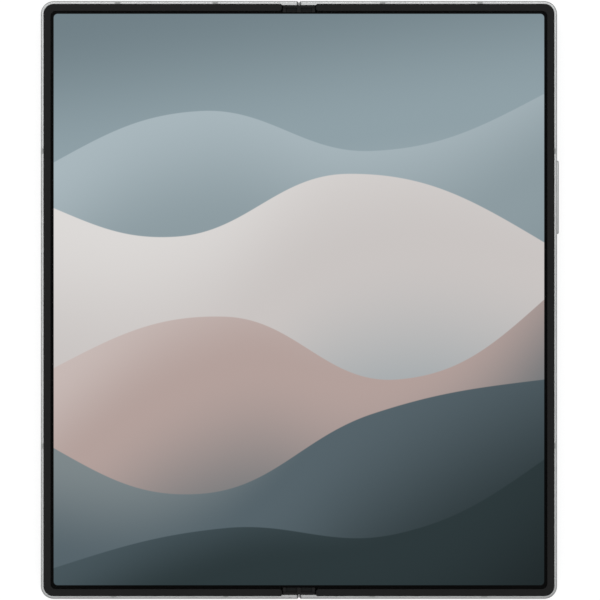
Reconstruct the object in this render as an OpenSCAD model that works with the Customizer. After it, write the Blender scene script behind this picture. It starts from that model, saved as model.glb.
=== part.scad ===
// Foldable smartphone, lying open and flat on its back with the screen up.
// +X is the camera half, -X the cover-screen half, +Y the top of the phone, +Z the screen side.
// The origin is under the middle of the hinge, in the plane that the camera rings stand on.
// Millimetres.

/* [Body] */
// Height of the phone, along the hinge
body_h = 153.5; // [140:0.5:170]
// Width opened flat, without the side keys
body_w = 132.6; // [124:0.2:144]
// Thickness of the rails, back face to screen surface
rail_t = 5.6; // [5.6:0.1:6.4]
// Radius of the four outer corners in plan
corner_r = 3.3; // [2.8:0.1:5]
// Thickness of the rail walls
rail_wall = 1.5; // [1.3:0.05:1.7]
// Rounding of the rails' front and back edges
edge_r = 0.4; // [0.2:0.05:0.6]
// Width of rail that shows beside the bezel
rail_reveal = 0.73; // [0.65:0.01:0.9]
// Thickness of the rail walls in front of the hinge
hinge_wall = 1.02; // [0.95:0.01:1.1]
// Radius in plan of the rail ends that meet over the hinge
rail_end_r = 0.6; // [0.2:0.05:0.9]
// Thickness of the plate that carries the screen
mid_t = 0.6; // [0.5:0.05:0.8]
// Thickness of the ledge under the back glass
ledge_t = 0.25; // [0.2:0.05:0.35]
// Width of that ledge, from the outside of the rail
ledge_w = 2.6; // [2.2:0.1:2.7]

/* [Screen] */
// Width of the raised bezel
bezel_w = 1.8; // [1.6:0.05:2.2]
// Height of the bezel above the screen
bezel_rise = 0.4; // [0.3:0.05:0.6]
// Radius of the bezel's window corners
window_r = 1.4; // [0.8:0.1:2]
// Rounding of the bezel's edges
bezel_edge_r = 0.25; // [0.1:0.05:0.3]
// How far the bezel laps over the edge of the screen
bezel_lap = 0.52; // [0.4:0.02:0.7]
// Thickness of the folding screen
screen_t = 0.35; // [0.3:0.01:0.4]
// Thickness of the fibre plate bonded under the screen
plate_t = 0.3; // [0.2:0.05:0.3]
// Half width of the part of the screen that bends
bend_half = 6; // [5.4:0.1:6.5]
// Shortening of the bending part at each end, beside the guards
bend_inset = 2.95; // [2.9:0.05:3.2]
// Thickness of the pen sensing film
film_t = 0.45; // [0.4:0.01:0.5]

/* [Hinge] */
// How far the hinge cover stands out of the halves when shut
spine_reach = 1.8; // [1.6:0.1:2]
// Space left between the two bezels when shut
shut_gap = 0.1; // [0.05:0.01:0.2]
// Clearance round the hinge cover while the halves swing
swing_gap = 0.15; // [0.1:0.01:0.2]
// Space between the two halves where they meet, for each half
end_gap = 0.05; // [0.03:0.01:0.1]
// Wall of the hinge cover
spine_wall = 0.5; // [0.4:0.05:0.6]
// Inner radius of the guide arms about the folding axis
arm_r = 2; // [1.95:0.01:2.05]
// Radial thickness of the guide arms
arm_t = 0.65; // [0.6:0.01:0.7]
// Clearance of the guide arms in their grooves
arm_gap = 0.06; // [0.04:0.01:0.08]
// Width of one guide arm along the hinge
arm_w = 3.6; // [3:0.1:3.8]
// Distance of the two hinge modules from the middle
module_y = 48; // [40:1:56]
// Thickness of the hinge brackets
bracket_t = 0.6; // [0.5:0.05:0.6]
// Thickness of the wing plates under the bend
wing_t = 0.4; // [0.3:0.05:0.45]
// Distance of the wing pivots from the middle of the hinge
wing_pivot_x = 10; // [9.6:0.1:11]
// Clearance round the wing pivots
wing_gap = 0.04; // [0.03:0.01:0.08]

/* [Cameras] */
// Height of the camera rings above the back
island_rise = 1.4; // [1:0.1:2]
// Height of the camera island above the back
island_h = 0.9; // [0.5:0.05:0.95]
// Width of the camera island
island_w = 17; // [16:0.5:20]
// Length of the camera island
island_l = 47; // [46:0.5:52]
// Distance between the lenses
lens_pitch = 15.2; // [14.4:0.1:16]
// Outer radius of the camera rings
ring_r = 6.7; // [6:0.1:7]
// Width of the camera rings
ring_w = 1.1; // [0.8:0.1:1.4]
// Thickness of the lens windows
window_t = 0.5; // [0.4:0.05:0.6]
// Radius of the flash lens
flash_r = 2.1; // [1.5:0.1:2.5]

/* [Back] */
// Thickness of the back and cover glass
glass_t = 0.5; // [0.4:0.05:0.55]
// Width of rail that shows round the back glass
glass_inset = 0.9; // [0.8:0.05:1.2]
// Width of the metal strip beside the hinge, on the back
hinge_strip = 2.2; // [1.8:0.1:3]
// Clearance round the glass
glass_gap = 0.05; // [0.03:0.01:0.1]

/* [Keys, tray and sockets] */
// Length of the volume key
volume_l = 18.9; // [16:0.1:22]
// Place of the volume key, above the middle
volume_y = 26.4; // [22:0.1:30]
// How far the volume key stands out of the rail
volume_proud = 0.54; // [0.3:0.02:0.8]
// Length of the power key with the fingerprint sensor
power_l = 13.6; // [12:0.1:16]
// Place of the power key, above the middle
power_y = 4.36; // [2:0.02:6]
// How far the power key stands out of the rail
power_proud = 0.05; // [0.03:0.01:0.2]
// Height of both keys, across the rail
key_h = 2.1; // [1.8:0.1:2.4]
// Clearance round the keys
key_gap = 0.1; // [0.08:0.01:0.15]
// Length of the card tray's face
tray_l = 18.6; // [18:0.1:20]
// Place of the card tray, above the middle
tray_y = 26.7; // [22:0.1:30]
// Height of the card tray's face
tray_h = 1.9; // [1.7:0.1:2.2]
// Depth of the card tray
tray_d = 14; // [13:0.5:16]
// Clearance round the card tray
tray_gap = 0.06; // [0.04:0.01:0.1]
// Width of the charging socket's shell
usb_w = 8.94; // [8.94:0.01:9.2]
// Height of the charging socket's shell
usb_h = 3.16; // [3.16:0.01:3.3]
// Depth of the charging socket
usb_d = 7.3; // [6.5:0.1:9]
// Sheet thickness of the charging socket's shell
usb_wall = 0.3; // [0.25:0.05:0.3]
// Radius of the speaker holes
speaker_r = 0.55; // [0.4:0.05:0.6]
// Radius of the microphone holes
mic_r = 0.35; // [0.25:0.05:0.4]

/* [Antenna breaks] */
// Width of the plastic breaks in the rails
break_w = 1.4; // [1:0.1:1.8]
// Places of the two breaks in each top rail, in from the side of the phone
break_top = [44.8, 19.8];
// Places of the two breaks in each bottom rail, in from the side of the phone
break_bottom = [47.5, 18.7];
// Places of the two breaks in each side rail
break_side = [38.2, -37.5];

/* [Hidden] */
$fn = 64;
over = 1;

half_w = body_w / 2;
half_h = body_h / 2;

// Heights, from the plane under the camera rings
z_back = island_rise;
z_glass = z_back + glass_t;
z_ledge = z_glass + ledge_t;
z_top = z_back + rail_t;
z_bezel = z_top + bezel_rise;
z_screen = z_top - screen_t;
z_plate = z_screen - plate_t;
z_mid = z_plate - film_t;
z_mid_low = z_mid - mid_t;
z_key = z_back + rail_t / 2;

// The two folding axes run along Y, at +-axis_x and height axis_z
shut_half = rail_t + bezel_rise + shut_gap / 2;
spine_low = glass_t + ledge_t + swing_gap;
axis_x = (shut_half - spine_reach - spine_low) / 2;
axis_z = z_back + shut_half - axis_x;
z_spine = z_back + spine_low;
z_edge = axis_z - axis_x;
spine_r = axis_z - z_spine;
z_spine_top = z_edge + 0.25;

// The spine ends behind the rails, and the guards close the screen's ends
spine_end = half_h - hinge_wall - 0.1;
guard_in = half_h - bend_inset + 0.05;
guard_bar_in = spine_end - 0.57;
guard_x = 4.1;
guard_z = z_top - 0.15;
stem_w = 1;
flap_gap = 0.12;
bezel_end_x = 4.4;
step_w = rail_reveal < hinge_wall ? hinge_wall - rail_reveal : 0.1;

// Insides of the halves
wall_in = half_w - rail_wall;
y_in = half_h - rail_wall;
hinge_x = 5.9;
hinge_rail_w = 1.5;
mid_x = wing_pivot_x + 0.4;
shelf_z = z_plate - wing_t - 0.75;
shelf_t = 0.5;
bezel_in = rail_reveal + bezel_w;
screen_in = bezel_in - bezel_lap;
seat_in = rail_reveal + 1.15;
pack_z = z_ledge + 0.1;

// Hinge modules: one arm of each half, then the detent springs
module_l = 24;
bay = arm_w + 0.4;
rib = 1;
arm_at = [2 - module_l / 2, 2 - module_l / 2 + bay + rib];
arm_low = -150;
arm_high = -25;
bracket_z = z_spine_top + 0.1;
bracket_x = axis_x + arm_r + 0.03;
bracket_out = wing_pivot_x + 0.3;
pad_l = module_l + 1;

// Cameras
island_x = half_w - 13;
island_y = half_h - 30.25;
z_island = z_back - island_h;
flash_x = island_x - 13;
flash_y = island_y + lens_pitch;

// Keys and tray
key_travel = 0.2;
key_end_r = 0.5;
key_foot = 0.5;
nib_l = 0.3;
volume_switch = 6;
switch_t = 0.3;
switch_x = wall_in - key_foot - key_travel - nib_l - 0.05;
rib_r = key_travel + nib_l + switch_t;
z_tray = z_back + 2.7;
tray_plate_t = 0.8;

// Places of the sockets and sounds along the bottom and top rails
usb_x = half_w / 2;
speaker_x = half_w - 15.3;
ear_x = half_w - 31.8;
speaker_pitch = 1.9;
speaker_holes = 6;
mic_x = half_w - 41.8;

metal = [0.72, 0.73, 0.74];
dark_plastic = [0.15, 0.15, 0.15];
break_plastic = [0.6, 0.61, 0.61];
black_glass = [0.05, 0.05, 0.06];
steel = [0.55, 0.56, 0.58];
board_green = [0.1, 0.25, 0.2];

// Raises a section drawn in X and Z into a bar from y0 to y1
module along_y(y0, y1) {
    translate([0, y1, 0]) rotate([90, 0, 0]) linear_extrude(y1 - y0) children();
}

// A rectangle with rounded corners between two corner points
module round_rect(low, high, r) {
    translate([low[0] + r, low[1]]) square([high[0] - low[0] - 2 * r, high[1] - low[1]]);
    translate([low[0], low[1] + r]) square([high[0] - low[0], high[1] - low[1] - 2 * r]);
    for (x = [low[0] + r, high[0] - r], y = [low[1] + r, high[1] - r])
        translate([x, y]) circle(r);
}

// A flat piece with rounded corners, from a low corner to a high corner
module slab(low, high, r = 0.5) {
    translate([0, 0, low[2]]) linear_extrude(high[2] - low[2]) round_rect(low, high, r);
}

module box(low, high) {
    translate(low) cube(high - low);
}

// Sweeps a section round the outside of the right half, from x_from round to x_from again.
// In the section, X is the distance in from the outside and Y the height.
module rim_sweep(x_from) {
    run = half_w - corner_r - x_from;
    for (side = [0, 1]) mirror([0, side, 0]) {
        translate([x_from, half_h, 0]) mirror([0, 1, 0]) rotate([90, 0, 90])
            linear_extrude(run) children();
        translate([half_w - corner_r, half_h - corner_r, 0]) rotate_extrude(angle = 90)
            translate([corner_r, 0]) mirror([1, 0]) children();
    }
    translate([half_w, 0, 0]) mirror([1, 0, 0]) rotate([90, 0, 0])
        linear_extrude(body_h - 2 * corner_r, center = true) children();
}

// The outline of one half, drawn in from its three outer edges
module half_outline(inset, x_from) {
    r = max(corner_r - inset, 0.3);
    intersection() {
        round_rect([-half_w + inset, -half_h + inset], [half_w - inset, half_h - inset], r);
        translate([x_from, -half_h]) square([body_w, body_h]);
    }
}

module wall_section(w) {
    difference() {
        translate([0, z_back]) square([w, rail_t]);
        for (z = [z_back, z_top]) difference() {
            translate([-over, z - edge_r]) square([over + edge_r, 2 * edge_r]);
            translate([edge_r, z == z_back ? z + edge_r : z - edge_r]) circle(edge_r);
        }
    }
}

// Rail with the bezel seat in front and the ledge for the glass behind
module rail_section() {
    difference() {
        union() {
            wall_section(rail_wall);
            translate([glass_inset, z_glass]) square([ledge_w - glass_inset, ledge_t]);
        }
        translate([glass_inset, z_back - over]) square([ledge_w, over + glass_t]);
        translate([rail_reveal, z_plate]) square([rail_wall, rail_t]);
    }
}

// Space in which a half may not stand, so that the two halves swing past each other
module swing_cut() {
    along_y(-half_h - over, half_h + over) difference() {
        translate([-over, axis_z]) square([axis_x + over, rail_t]);
        translate([axis_x, axis_z]) circle(axis_x - end_gap);
    }
}

// The thin rail ends that close over the spine, rounded where they meet
module rail_ends() {
    for (side = [0, 1]) mirror([0, side, 0]) difference() {
        intersection() {
            translate([end_gap, half_h, 0]) mirror([0, 1, 0]) rotate([90, 0, 90])
                linear_extrude(hinge_x + rail_wall - end_gap) wall_section(hinge_wall);
            linear_extrude_at(z_back - over, z_top + over) {
                translate([end_gap, half_h - 2 * hinge_wall])
                    square([2 * hinge_x, 2 * hinge_wall - rail_end_r]);
                translate([end_gap + rail_end_r, half_h - hinge_wall - over])
                    square([2 * hinge_x, hinge_wall + 2 * over]);
                translate([end_gap + rail_end_r, half_h - rail_end_r]) circle(rail_end_r);
            }
        }
        linear_extrude_at(z_plate, z_top + over)
            polygon([[bezel_end_x, half_h - hinge_wall - over], [bezel_end_x, half_h - hinge_wall],
                [bezel_end_x + step_w, half_h - rail_reveal], [2 * hinge_x, half_h - rail_reveal],
                [2 * hinge_x, half_h - hinge_wall - over]]);
    }
}

// The frame of one half, drawn on the right: rail, ledges, screen plate and hinge rail
module half_frame() {
    difference() {
        union() {
            rim_sweep(hinge_x) rail_section();
            rail_ends();
            linear_extrude_at(z_mid_low, z_mid) half_outline(rail_wall - 0.1, mid_x);
            box([end_gap, -y_in, z_back], [hinge_strip, y_in, z_ledge]);
            box([end_gap, -y_in, z_glass], [hinge_x + hinge_rail_w, y_in, z_ledge]);
            box([hinge_x, -y_in, z_glass], [hinge_x + hinge_rail_w, y_in, shelf_z]);
            box([hinge_x, -y_in, shelf_z - shelf_t], [mid_x + 0.8, y_in, shelf_z]);
            box([mid_x, -y_in, shelf_z - shelf_t], [mid_x + 0.8, y_in, z_mid]);
            for (s = [-1, 1])
                box([hinge_x, s * module_y - pad_l / 2, z_glass],
                    [bracket_out, s * module_y + pad_l / 2, bracket_z]);
        }
        swing_cut();
        linear_extrude_at(z_back - over, z_glass) half_outline(glass_inset, hinge_strip);
        for (s = [-1, 1]) {
            box([hinge_x - over, s * module_y - pad_l / 2, bracket_z],
                [bracket_out + 0.1, s * module_y + pad_l / 2, z_top]);
            for (y = bracket_screw_y())
                translate([bracket_screw_x(), s * module_y + y, bracket_z - 1.2])
                    cylinder(r = 0.4, h = 2);
        }
        break_boxes();
        for (p = frame_screw_places())
            translate([p[0], p[1], z_mid_low - over]) cylinder(r = 0.55, h = over + mid_t + over);
    }
}

module linear_extrude_at(z0, z1) {
    translate([0, 0, z0]) linear_extrude(z1 - z0) children();
}

// Boxes over the plastic breaks in the rail walls of the right half
module break_boxes() {
    for (x = break_top)
        box([half_w - x - break_w / 2, y_in, z_back - over],
            [half_w - x + break_w / 2, half_h + over, z_top + over]);
    for (x = break_bottom)
        box([half_w - x - break_w / 2, -half_h - over, z_back - over],
            [half_w - x + break_w / 2, -y_in, z_top + over]);
    for (y = break_side)
        box([wall_in, y - break_w / 2, z_back - over], [half_w + over, y + break_w / 2, z_top + over]);
}

module half_breaks() {
    intersection() {
        rim_sweep(hinge_x) rail_section();
        break_boxes();
    }
}

function bracket_screw_y() = [3 - module_l / 2, module_l / 2 - 3];
function bracket_screw_x() = hinge_x + hinge_rail_w + 0.6;
function frame_screw_places() = [for (x = [mid_x + 3, wall_in - 1.8], y = [-half_h + 5, half_h - 5]) [x, y]];

module main_frame() {
    color(metal) difference() {
        half_frame();
        key_slots(0);
        translate([usb_x, -half_h, z_key]) socket_cut();
        box([usb_x - usb_w / 2 - 0.3, -half_h + rail_wall, z_mid_low - over],
            [usb_x + usb_w / 2 + 0.3, -half_h + usb_d + 0.6, z_mid + over]);
        sound_holes(speaker_x, -1);
        for (s = [-1, 1]) translate([mic_x, s * half_h, z_key]) rotate([90, 0, 0])
            cylinder(r = mic_r, h = 3 * rail_wall, center = true);
        camera_openings(z_mid_low - over, z_mid + over);
        translate([usb_x, under_camera_y(), z_mid_low - over])
            cylinder(r = under_camera_r() + 0.2, h = mid_t + 2 * over);
    }
}

// A row of round holes through the top or bottom rail
module sound_holes(x, side) {
    for (i = [0 : speaker_holes - 1])
        translate([x + i * speaker_pitch, side * half_h, z_key]) rotate([90, 0, 0])
            cylinder(r = speaker_r, h = 2.6 * rail_wall, center = true);
}

module socket_cut() {
    rotate([90, 0, 0]) linear_extrude(4 * rail_wall, center = true)
        capsule(usb_w + 2 * glass_gap, usb_h + 2 * glass_gap);
}

// A flat oval, wider than it is high
module capsule(w, h) {
    square([w - h, h], center = true);
    for (s = [-1, 1]) translate([s * (w - h) / 2, 0]) circle(h / 2);
}

module main_antenna_breaks() {
    color(break_plastic) half_breaks();
}

module bezel_section() {
    difference() {
        union() {
            translate([rail_reveal, z_plate]) square([seat_in - rail_reveal, z_bezel - z_plate]);
            translate([rail_reveal, z_top]) square([corner_r - rail_reveal - 0.05, bezel_rise]);
        }
        translate([rail_reveal, z_bezel - bezel_edge_r]) difference() {
            translate([-over, 0]) square([over + bezel_edge_r, over]);
            translate([bezel_edge_r, 0]) circle(bezel_edge_r);
        }
    }
}

// Raised bezel round three sides of the screen, its ends shaped to the guards
module half_bezel() {
    difference() {
        rim_sweep(bezel_end_x) bezel_section();
        translate([0, 0, z_plate - over]) linear_extrude(z_bezel)
            round_rect([-half_w, -half_h + bezel_in], [half_w - bezel_in, half_h - bezel_in], window_r);
        for (side = [0, 1]) mirror([0, side, 0]) {
            translate([bezel_end_x, half_h - bezel_in, z_plate - over]) linear_extrude(z_bezel)
                difference() {
                    translate([-over, -over]) square([over + window_r / 2, over + window_r / 2]);
                    translate([window_r / 2, window_r / 2]) circle(window_r / 2);
                }
            translate([0, 0, z_plate - over]) linear_extrude(z_bezel)
                polygon([[bezel_end_x - over, half_h],
                    [bezel_end_x - over, half_h - hinge_wall],
                    [bezel_end_x, half_h - hinge_wall],
                    [bezel_end_x + step_w, half_h - rail_reveal],
                    [bezel_end_x + step_w, half_h]]);
        }
    }
}

module main_bezel() {
    color(dark_plastic) half_bezel();
}

// Flat layers of the screen on one half, between two heights
module screen_layer(z0, z1) {
    linear_extrude_at(z0, z1) half_outline(screen_in, bend_half);
}

module main_screen() {
    color(black_glass) screen_layer(z_screen, z_top);
}

module main_fibre_plate() {
    color("dimgray") difference() {
        screen_layer(z_plate, z_screen);
        translate([usb_x, under_camera_y(), z_plate - over])
            cylinder(r = under_camera_r() + 0.2, h = 2 * over + plate_t);
    }
}

module pen_film() {
    linear_extrude_at(z_mid, z_plate) half_outline(screen_in, mid_x);
}

module main_pen_film() {
    color("darkgoldenrod") difference() {
        pen_film();
        translate([usb_x, under_camera_y(), z_mid - over])
            cylinder(r = under_camera_r() + 0.2, h = 2 * over + film_t);
    }
}

module back_glass() {
    linear_extrude_at(z_back, z_glass) half_outline(glass_inset + glass_gap, hinge_strip + glass_gap);
}

module rear_glass() {
    color("lightsteelblue") difference() {
        back_glass();
        translate([island_x, island_y, z_back - over]) linear_extrude(2 * over + glass_t)
            pill(island_w - 1, island_l - 1);
        translate([flash_x, flash_y, z_back - over])
            cylinder(r = flash_r + glass_gap, h = 2 * over + glass_t);
    }
}

// An upright oval
module pill(w, l) {
    rotate(90) capsule(l, w);
}

// Puts its children at each of the three lenses
module at_lenses() {
    for (i = [-1, 0, 1]) translate([island_x, island_y + i * lens_pitch, 0]) children();
}

// The island has a rim that lies on the glass and a neck that fills the hole in it
module camera_island() {
    color(metal) difference() {
        union() {
            translate([island_x, island_y, z_island]) linear_extrude(island_h) pill(island_w, island_l);
            translate([island_x, island_y, z_back]) linear_extrude(glass_t + ledge_t)
                pill(island_w - 1 - 2 * glass_gap, island_l - 1 - 2 * glass_gap);
        }
        at_lenses() translate([0, 0, z_island - over]) cylinder(r = ring_r, h = rail_t);
    }
}

module camera_rings() {
    color(steel) at_lenses() difference() {
        cylinder(r = ring_r, h = z_glass);
        translate([0, 0, -over]) cylinder(r = ring_r - ring_w, h = z_glass + 2 * over);
    }
}

module camera_windows() {
    color(black_glass) at_lenses() translate([0, 0, 0.25]) cylinder(r = ring_r - ring_w, h = window_t);
}

module camera_openings(z0, z1) {
    at_lenses() translate([0, 0, z0]) linear_extrude(z1 - z0) square(camera_side() + 0.4, center = true);
}

function camera_side() = 10.6;
function under_camera_y() = half_h - 9;
function under_camera_r() = 2.2;

// Square module bodies, each with its lens barrel under the window
module camera_modules() {
    color("dimgray") at_lenses() {
        translate([0, 0, z_ledge]) linear_extrude(z_mid - z_ledge) square(camera_side(), center = true);
        translate([0, 0, 0.25 + window_t]) cylinder(r = ring_r - ring_w - 0.8, h = z_ledge - 0.25 - window_t);
    }
}

module flash_lens() {
    color("lightyellow") translate([flash_x, flash_y, z_back]) cylinder(r = flash_r, h = glass_t);
}

board_z = z_mid_low - 1.3;
board_t = 0.8;
board_top = 3.5;
board_l = 52.5;
board_y = [half_h - board_top - board_l, half_h - board_top];
camera_left = island_x - camera_side() / 2 - 0.8;

module main_board() {
    color(board_green) difference() {
        union() {
            slab([mid_x + 1.2, board_y[0], board_z], [camera_left, board_y[1], board_z + board_t]);
            slab([mid_x + 1.2, board_y[0], board_z],
                [wall_in - 3.4, island_y - lens_pitch - camera_side() / 2 - 0.5, board_z + board_t]);
        }
        for (p = board_screw_places()) translate([p[0], p[1], board_z - over]) cylinder(r = 0.6, h = 3);
        translate([usb_x, under_camera_y(), board_z - over]) cylinder(r = under_camera_r() + 0.3, h = 3);
    }
}

function board_screw_places() = [[mid_x + 3, board_y[0] + 4], [camera_left - 2, board_y[0] + 4]];

shield_w = 13.5;
shield_l = 26;
shield_gap = 1;

module board_shields() {
    color(steel) for (i = [0, 1])
        translate([mid_x + 5 + i * (shield_w + shield_gap), board_y[0] + 8, 0])
            slab([0, 0, pack_z], [shield_w, shield_l, board_z]);
}

module vapour_chamber() {
    color("peru") slab([mid_x + 6, board_y[0] + 1, board_z + board_t],
        [camera_left - 4, board_y[1] - 14, z_mid_low], 3);
}

battery_top = z_mid_low - 0.05;

module main_battery() {
    color("gray") slab([mid_x + 1.4, -half_h + 24, pack_z + 0.3],
        [wall_in - 2, board_y[0] - 1.5, battery_top], 2);
}

// Flat winding and its backing sheet, on the back of the battery
module charging_coil() {
    coil_y = (board_y[0] - half_h + 22) / 2;
    color("chocolate") translate([usb_x + 3, coil_y, z_ledge]) {
        difference() {
            cylinder(r = 21, h = 0.25);
            translate([0, 0, -over]) cylinder(r = 10, h = 3);
        }
        translate([0, 0, 0.25]) cylinder(r = 22, h = 0.15);
    }
}

// Steel shell, closed behind, with the contact tongue on its back wall
module usb_socket() {
    color(steel) translate([usb_x, -half_h + 0.2, z_key]) mirror([0, 1, 0]) rotate([90, 0, 0]) {
        linear_extrude(usb_d) difference() {
            capsule(usb_w, usb_h);
            capsule(usb_w - 2 * usb_wall, usb_h - 2 * usb_wall);
        }
        translate([0, 0, usb_d - 0.4]) linear_extrude(0.4) capsule(usb_w, usb_h);
        translate([0, 0, 1.2]) linear_extrude(usb_d - 1.4) square([6.7, 0.7], center = true);
    }
}

module bottom_speaker() {
    color("dimgray") slab([speaker_x - 3.5, -y_in + 0.8, pack_z],
        [wall_in - 3.2, -half_h + 21, battery_top]);
}

module speaker_mesh(x, side) {
    y0 = side < 0 ? -y_in : y_in - 0.2;
    box([x - 1, y0, z_key - 0.9], [x + (speaker_holes - 1) * speaker_pitch + 1, y0 + 0.2, z_key + 0.9]);
}

module main_speaker_mesh() {
    color(dark_plastic) speaker_mesh(speaker_x, -1);
}

module haptic_motor() {
    color(steel) slab([mid_x + 2.5, -half_h + 8, pack_z], [mid_x + 13, -half_h + 22, battery_top]);
}

// Slots for the two keys through the right rail; grow widens them
module key_slots(grow) {
    for (k = [[volume_y, volume_l], [power_y, power_l]])
        translate([half_w + over, k[0], z_key]) rotate([0, -90, 0])
            linear_extrude(2 * rail_wall + over)
                round_rect([-key_h / 2 - key_gap - grow, -k[1] / 2 - key_gap - grow],
                    [key_h / 2 + key_gap + grow, k[1] / 2 + key_gap + grow], key_end_r + key_gap);
}

// A key: its cap and foot, and the nibs behind the wall that press its switches
module key(y, l, proud, nibs) {
    translate([wall_in - key_foot, y, z_key]) rotate([0, 90, 0]) {
        linear_extrude(half_w + proud - wall_in + key_foot)
            round_rect([-key_h / 2, -l / 2], [key_h / 2, l / 2], key_end_r);
        for (n = nibs) translate([0, n, -nib_l]) cylinder(r = 0.6, h = nib_l + 0.1);
    }
}

// The volume key rocks on a round rib across the middle of its foot
module volume_key() {
    color(metal) {
        key(volume_y, volume_l, volume_proud, [-volume_switch, volume_switch]);
        translate([wall_in - key_foot, volume_y, z_key - key_h / 2]) cylinder(r = rib_r, h = key_h);
    }
}

module power_key() {
    color(metal) difference() {
        key(power_y, power_l, power_proud, [0]);
        sensor_slab(0.02);
    }
}

// The sensor strip is let into the face of the power key
module sensor_slab(gap) {
    t = 0.3;
    translate([half_w + power_proud - t, power_y, z_key]) rotate([0, 90, 0])
        linear_extrude(gap > 0 ? t + over : t)
            round_rect([-key_h / 2 + 0.3 - gap, -power_l / 2 + 0.5 - gap],
                [key_h / 2 - 0.3 + gap, power_l / 2 - 0.5 + gap], key_end_r - 0.1);
}

module fingerprint_sensor() {
    color("silver") sensor_slab(0);
}

// Flexible board behind the keys, with its three dome switches
module key_flex() {
    color("goldenrod") {
        box([switch_x - switch_t - 0.3, power_y - power_l / 2, z_key - 1],
            [switch_x - switch_t, volume_y + volume_l / 2, z_key + 1]);
        for (y = [power_y, volume_y - volume_switch, volume_y + volume_switch])
            translate([switch_x - switch_t, y, z_key]) rotate([0, 90, 0]) cylinder(r = 1, h = switch_t);
    }
}

// Small screw: flat head on a shank, pointing down
module screw(head_r, head_h, shank_r, shank_l) {
    difference() {
        cylinder(r = head_r, h = head_h);
        translate([0, 0, head_h / 2]) cylinder(r = head_r / 2, h = head_h, $fn = 6);
    }
    translate([0, 0, -shank_l]) cylinder(r = shank_r, h = shank_l + 0.01);
}

module board_screws() {
    for (p = board_screw_places())
        translate([p[0], p[1], board_z]) mirror([0, 0, 1]) screw(0.9, 0.4, 0.5, board_t);
}

module plate_screws() {
    for (p = frame_screw_places())
        translate([p[0], p[1], z_mid_low]) mirror([0, 0, 1]) screw(0.9, 0.4, 0.5, mid_t - 0.05);
}

module main_screws() {
    color(steel) {
        board_screws();
        plate_screws();
    }
}

// A guide arm in section: the part of a ring about the folding axis that slides in the groove
module arm_section() {
    difference() {
        translate([axis_x, axis_z]) ring_sector(arm_r, arm_r + arm_t, arm_low, arm_high);
        translate([bracket_x + over, bracket_z + bracket_t]) square([rail_t, rail_t]);
    }
    translate([bracket_x, bracket_z]) square([hinge_x + over - bracket_x, bracket_t]);
}

// A sector of a ring, of less than half a turn
module ring_sector(r_in, r_out, from, to) {
    difference() {
        circle(r_out, $fn = 96);
        circle(r_in, $fn = 96);
        rotate(to) translate([-2 * r_out, 0]) square(4 * r_out);
        rotate(from) translate([-2 * r_out, -4 * r_out]) square(4 * r_out);
    }
}

// The bracket of one half at both modules; first is 0 or 1, the bay that its arm works in
module half_brackets(first) {
    for (s = [-1, 1]) translate([0, s * module_y, 0]) difference() {
        union() {
            along_y(arm_at[first] + 0.2, arm_at[first] + 0.2 + arm_w) arm_section();
            box([hinge_x, -module_l / 2, bracket_z],
                [bracket_out - 0.1, module_l / 2, bracket_z + bracket_t]);
            box([wing_pivot_x - 0.05, -module_l / 2, bracket_z],
                [bracket_out - 0.1, module_l / 2, wing_z() - wing_t / 2 - wing_gap]);
        }
        for (y = bracket_screw_y()) translate([bracket_screw_x(), y, bracket_z - over])
            cylinder(r = 0.45, h = 2 * over + bracket_t);
    }
}

module bracket_screws() {
    for (s = [-1, 1], y = bracket_screw_y())
        translate([bracket_screw_x(), s * module_y + y, bracket_z + bracket_t]) screw(0.8, 0.25, 0.4, 1.6);
}

module main_hinge_brackets() {
    color(steel) half_brackets(0);
}

module bracket_screws_main() {
    color(steel) bracket_screws();
}

module under_screen_camera() {
    color(black_glass) translate([usb_x, under_camera_y(), board_z - 0.5])
        cylinder(r = under_camera_r(), h = z_screen - board_z + 0.5);
}

magnet_up = [36, 56.75];
magnet_l = 12;
magnet_t = 1.1;

// Magnets that hold the phone shut, beside the outer rail
module half_magnets() {
    for (up = magnet_up) translate([0, -half_h + up, 0])
        box([wall_in - magnet_t, 0, z_ledge], [wall_in, magnet_l, z_mid_low - 0.6]);
}

module main_magnets() {
    color("silver") half_magnets();
}

function wing_z() = z_plate - 0.03 - wing_t / 2;

// Wing plate with a round edge that it pivots on
module half_wing() {
    along_y(-half_h + 3.7, half_h - 3.7) {
        translate([2, wing_z() - wing_t / 2]) square([wing_pivot_x - 2, wing_t]);
        translate([wing_pivot_x, wing_z()]) circle(wing_t / 2);
    }
}

module main_wing() {
    color(steel) half_wing();
}

// Section of the spine: arcs about the two folding axes, joined by a flat, up to a height
module spine_section(inset, top) {
    r = spine_r - inset;
    intersection() {
        union() {
            for (s = [-1, 1]) translate([s * axis_x, axis_z]) circle(r, $fn = 128);
            translate([-axis_x, axis_z - r]) square([2 * axis_x, r]);
        }
        translate([-half_w, z_back]) square([body_w, top - z_back]);
    }
}

module spine_cover() {
    color(metal) along_y(-guard_in, guard_in) difference() {
        spine_section(0, z_spine_top);
        spine_section(spine_wall, z_spine_top + over);
    }
}

// One grooved bay of a hinge block, s is 1 for an arm of the right half
module bay_section(s) {
    difference() {
        spine_section(spine_wall, z_edge);
        translate([s * axis_x, axis_z]) difference() {
            circle(arm_r + arm_t + arm_gap, $fn = 96);
            circle(arm_r - arm_gap, $fn = 96);
        }
        translate([s * (axis_x + arm_r), z_edge - 0.4]) square([2, 2], center = true);
    }
}

spring_y = [arm_at[1] + bay + 3, module_l / 2 - 3];
spring_r = 0.45;

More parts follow.
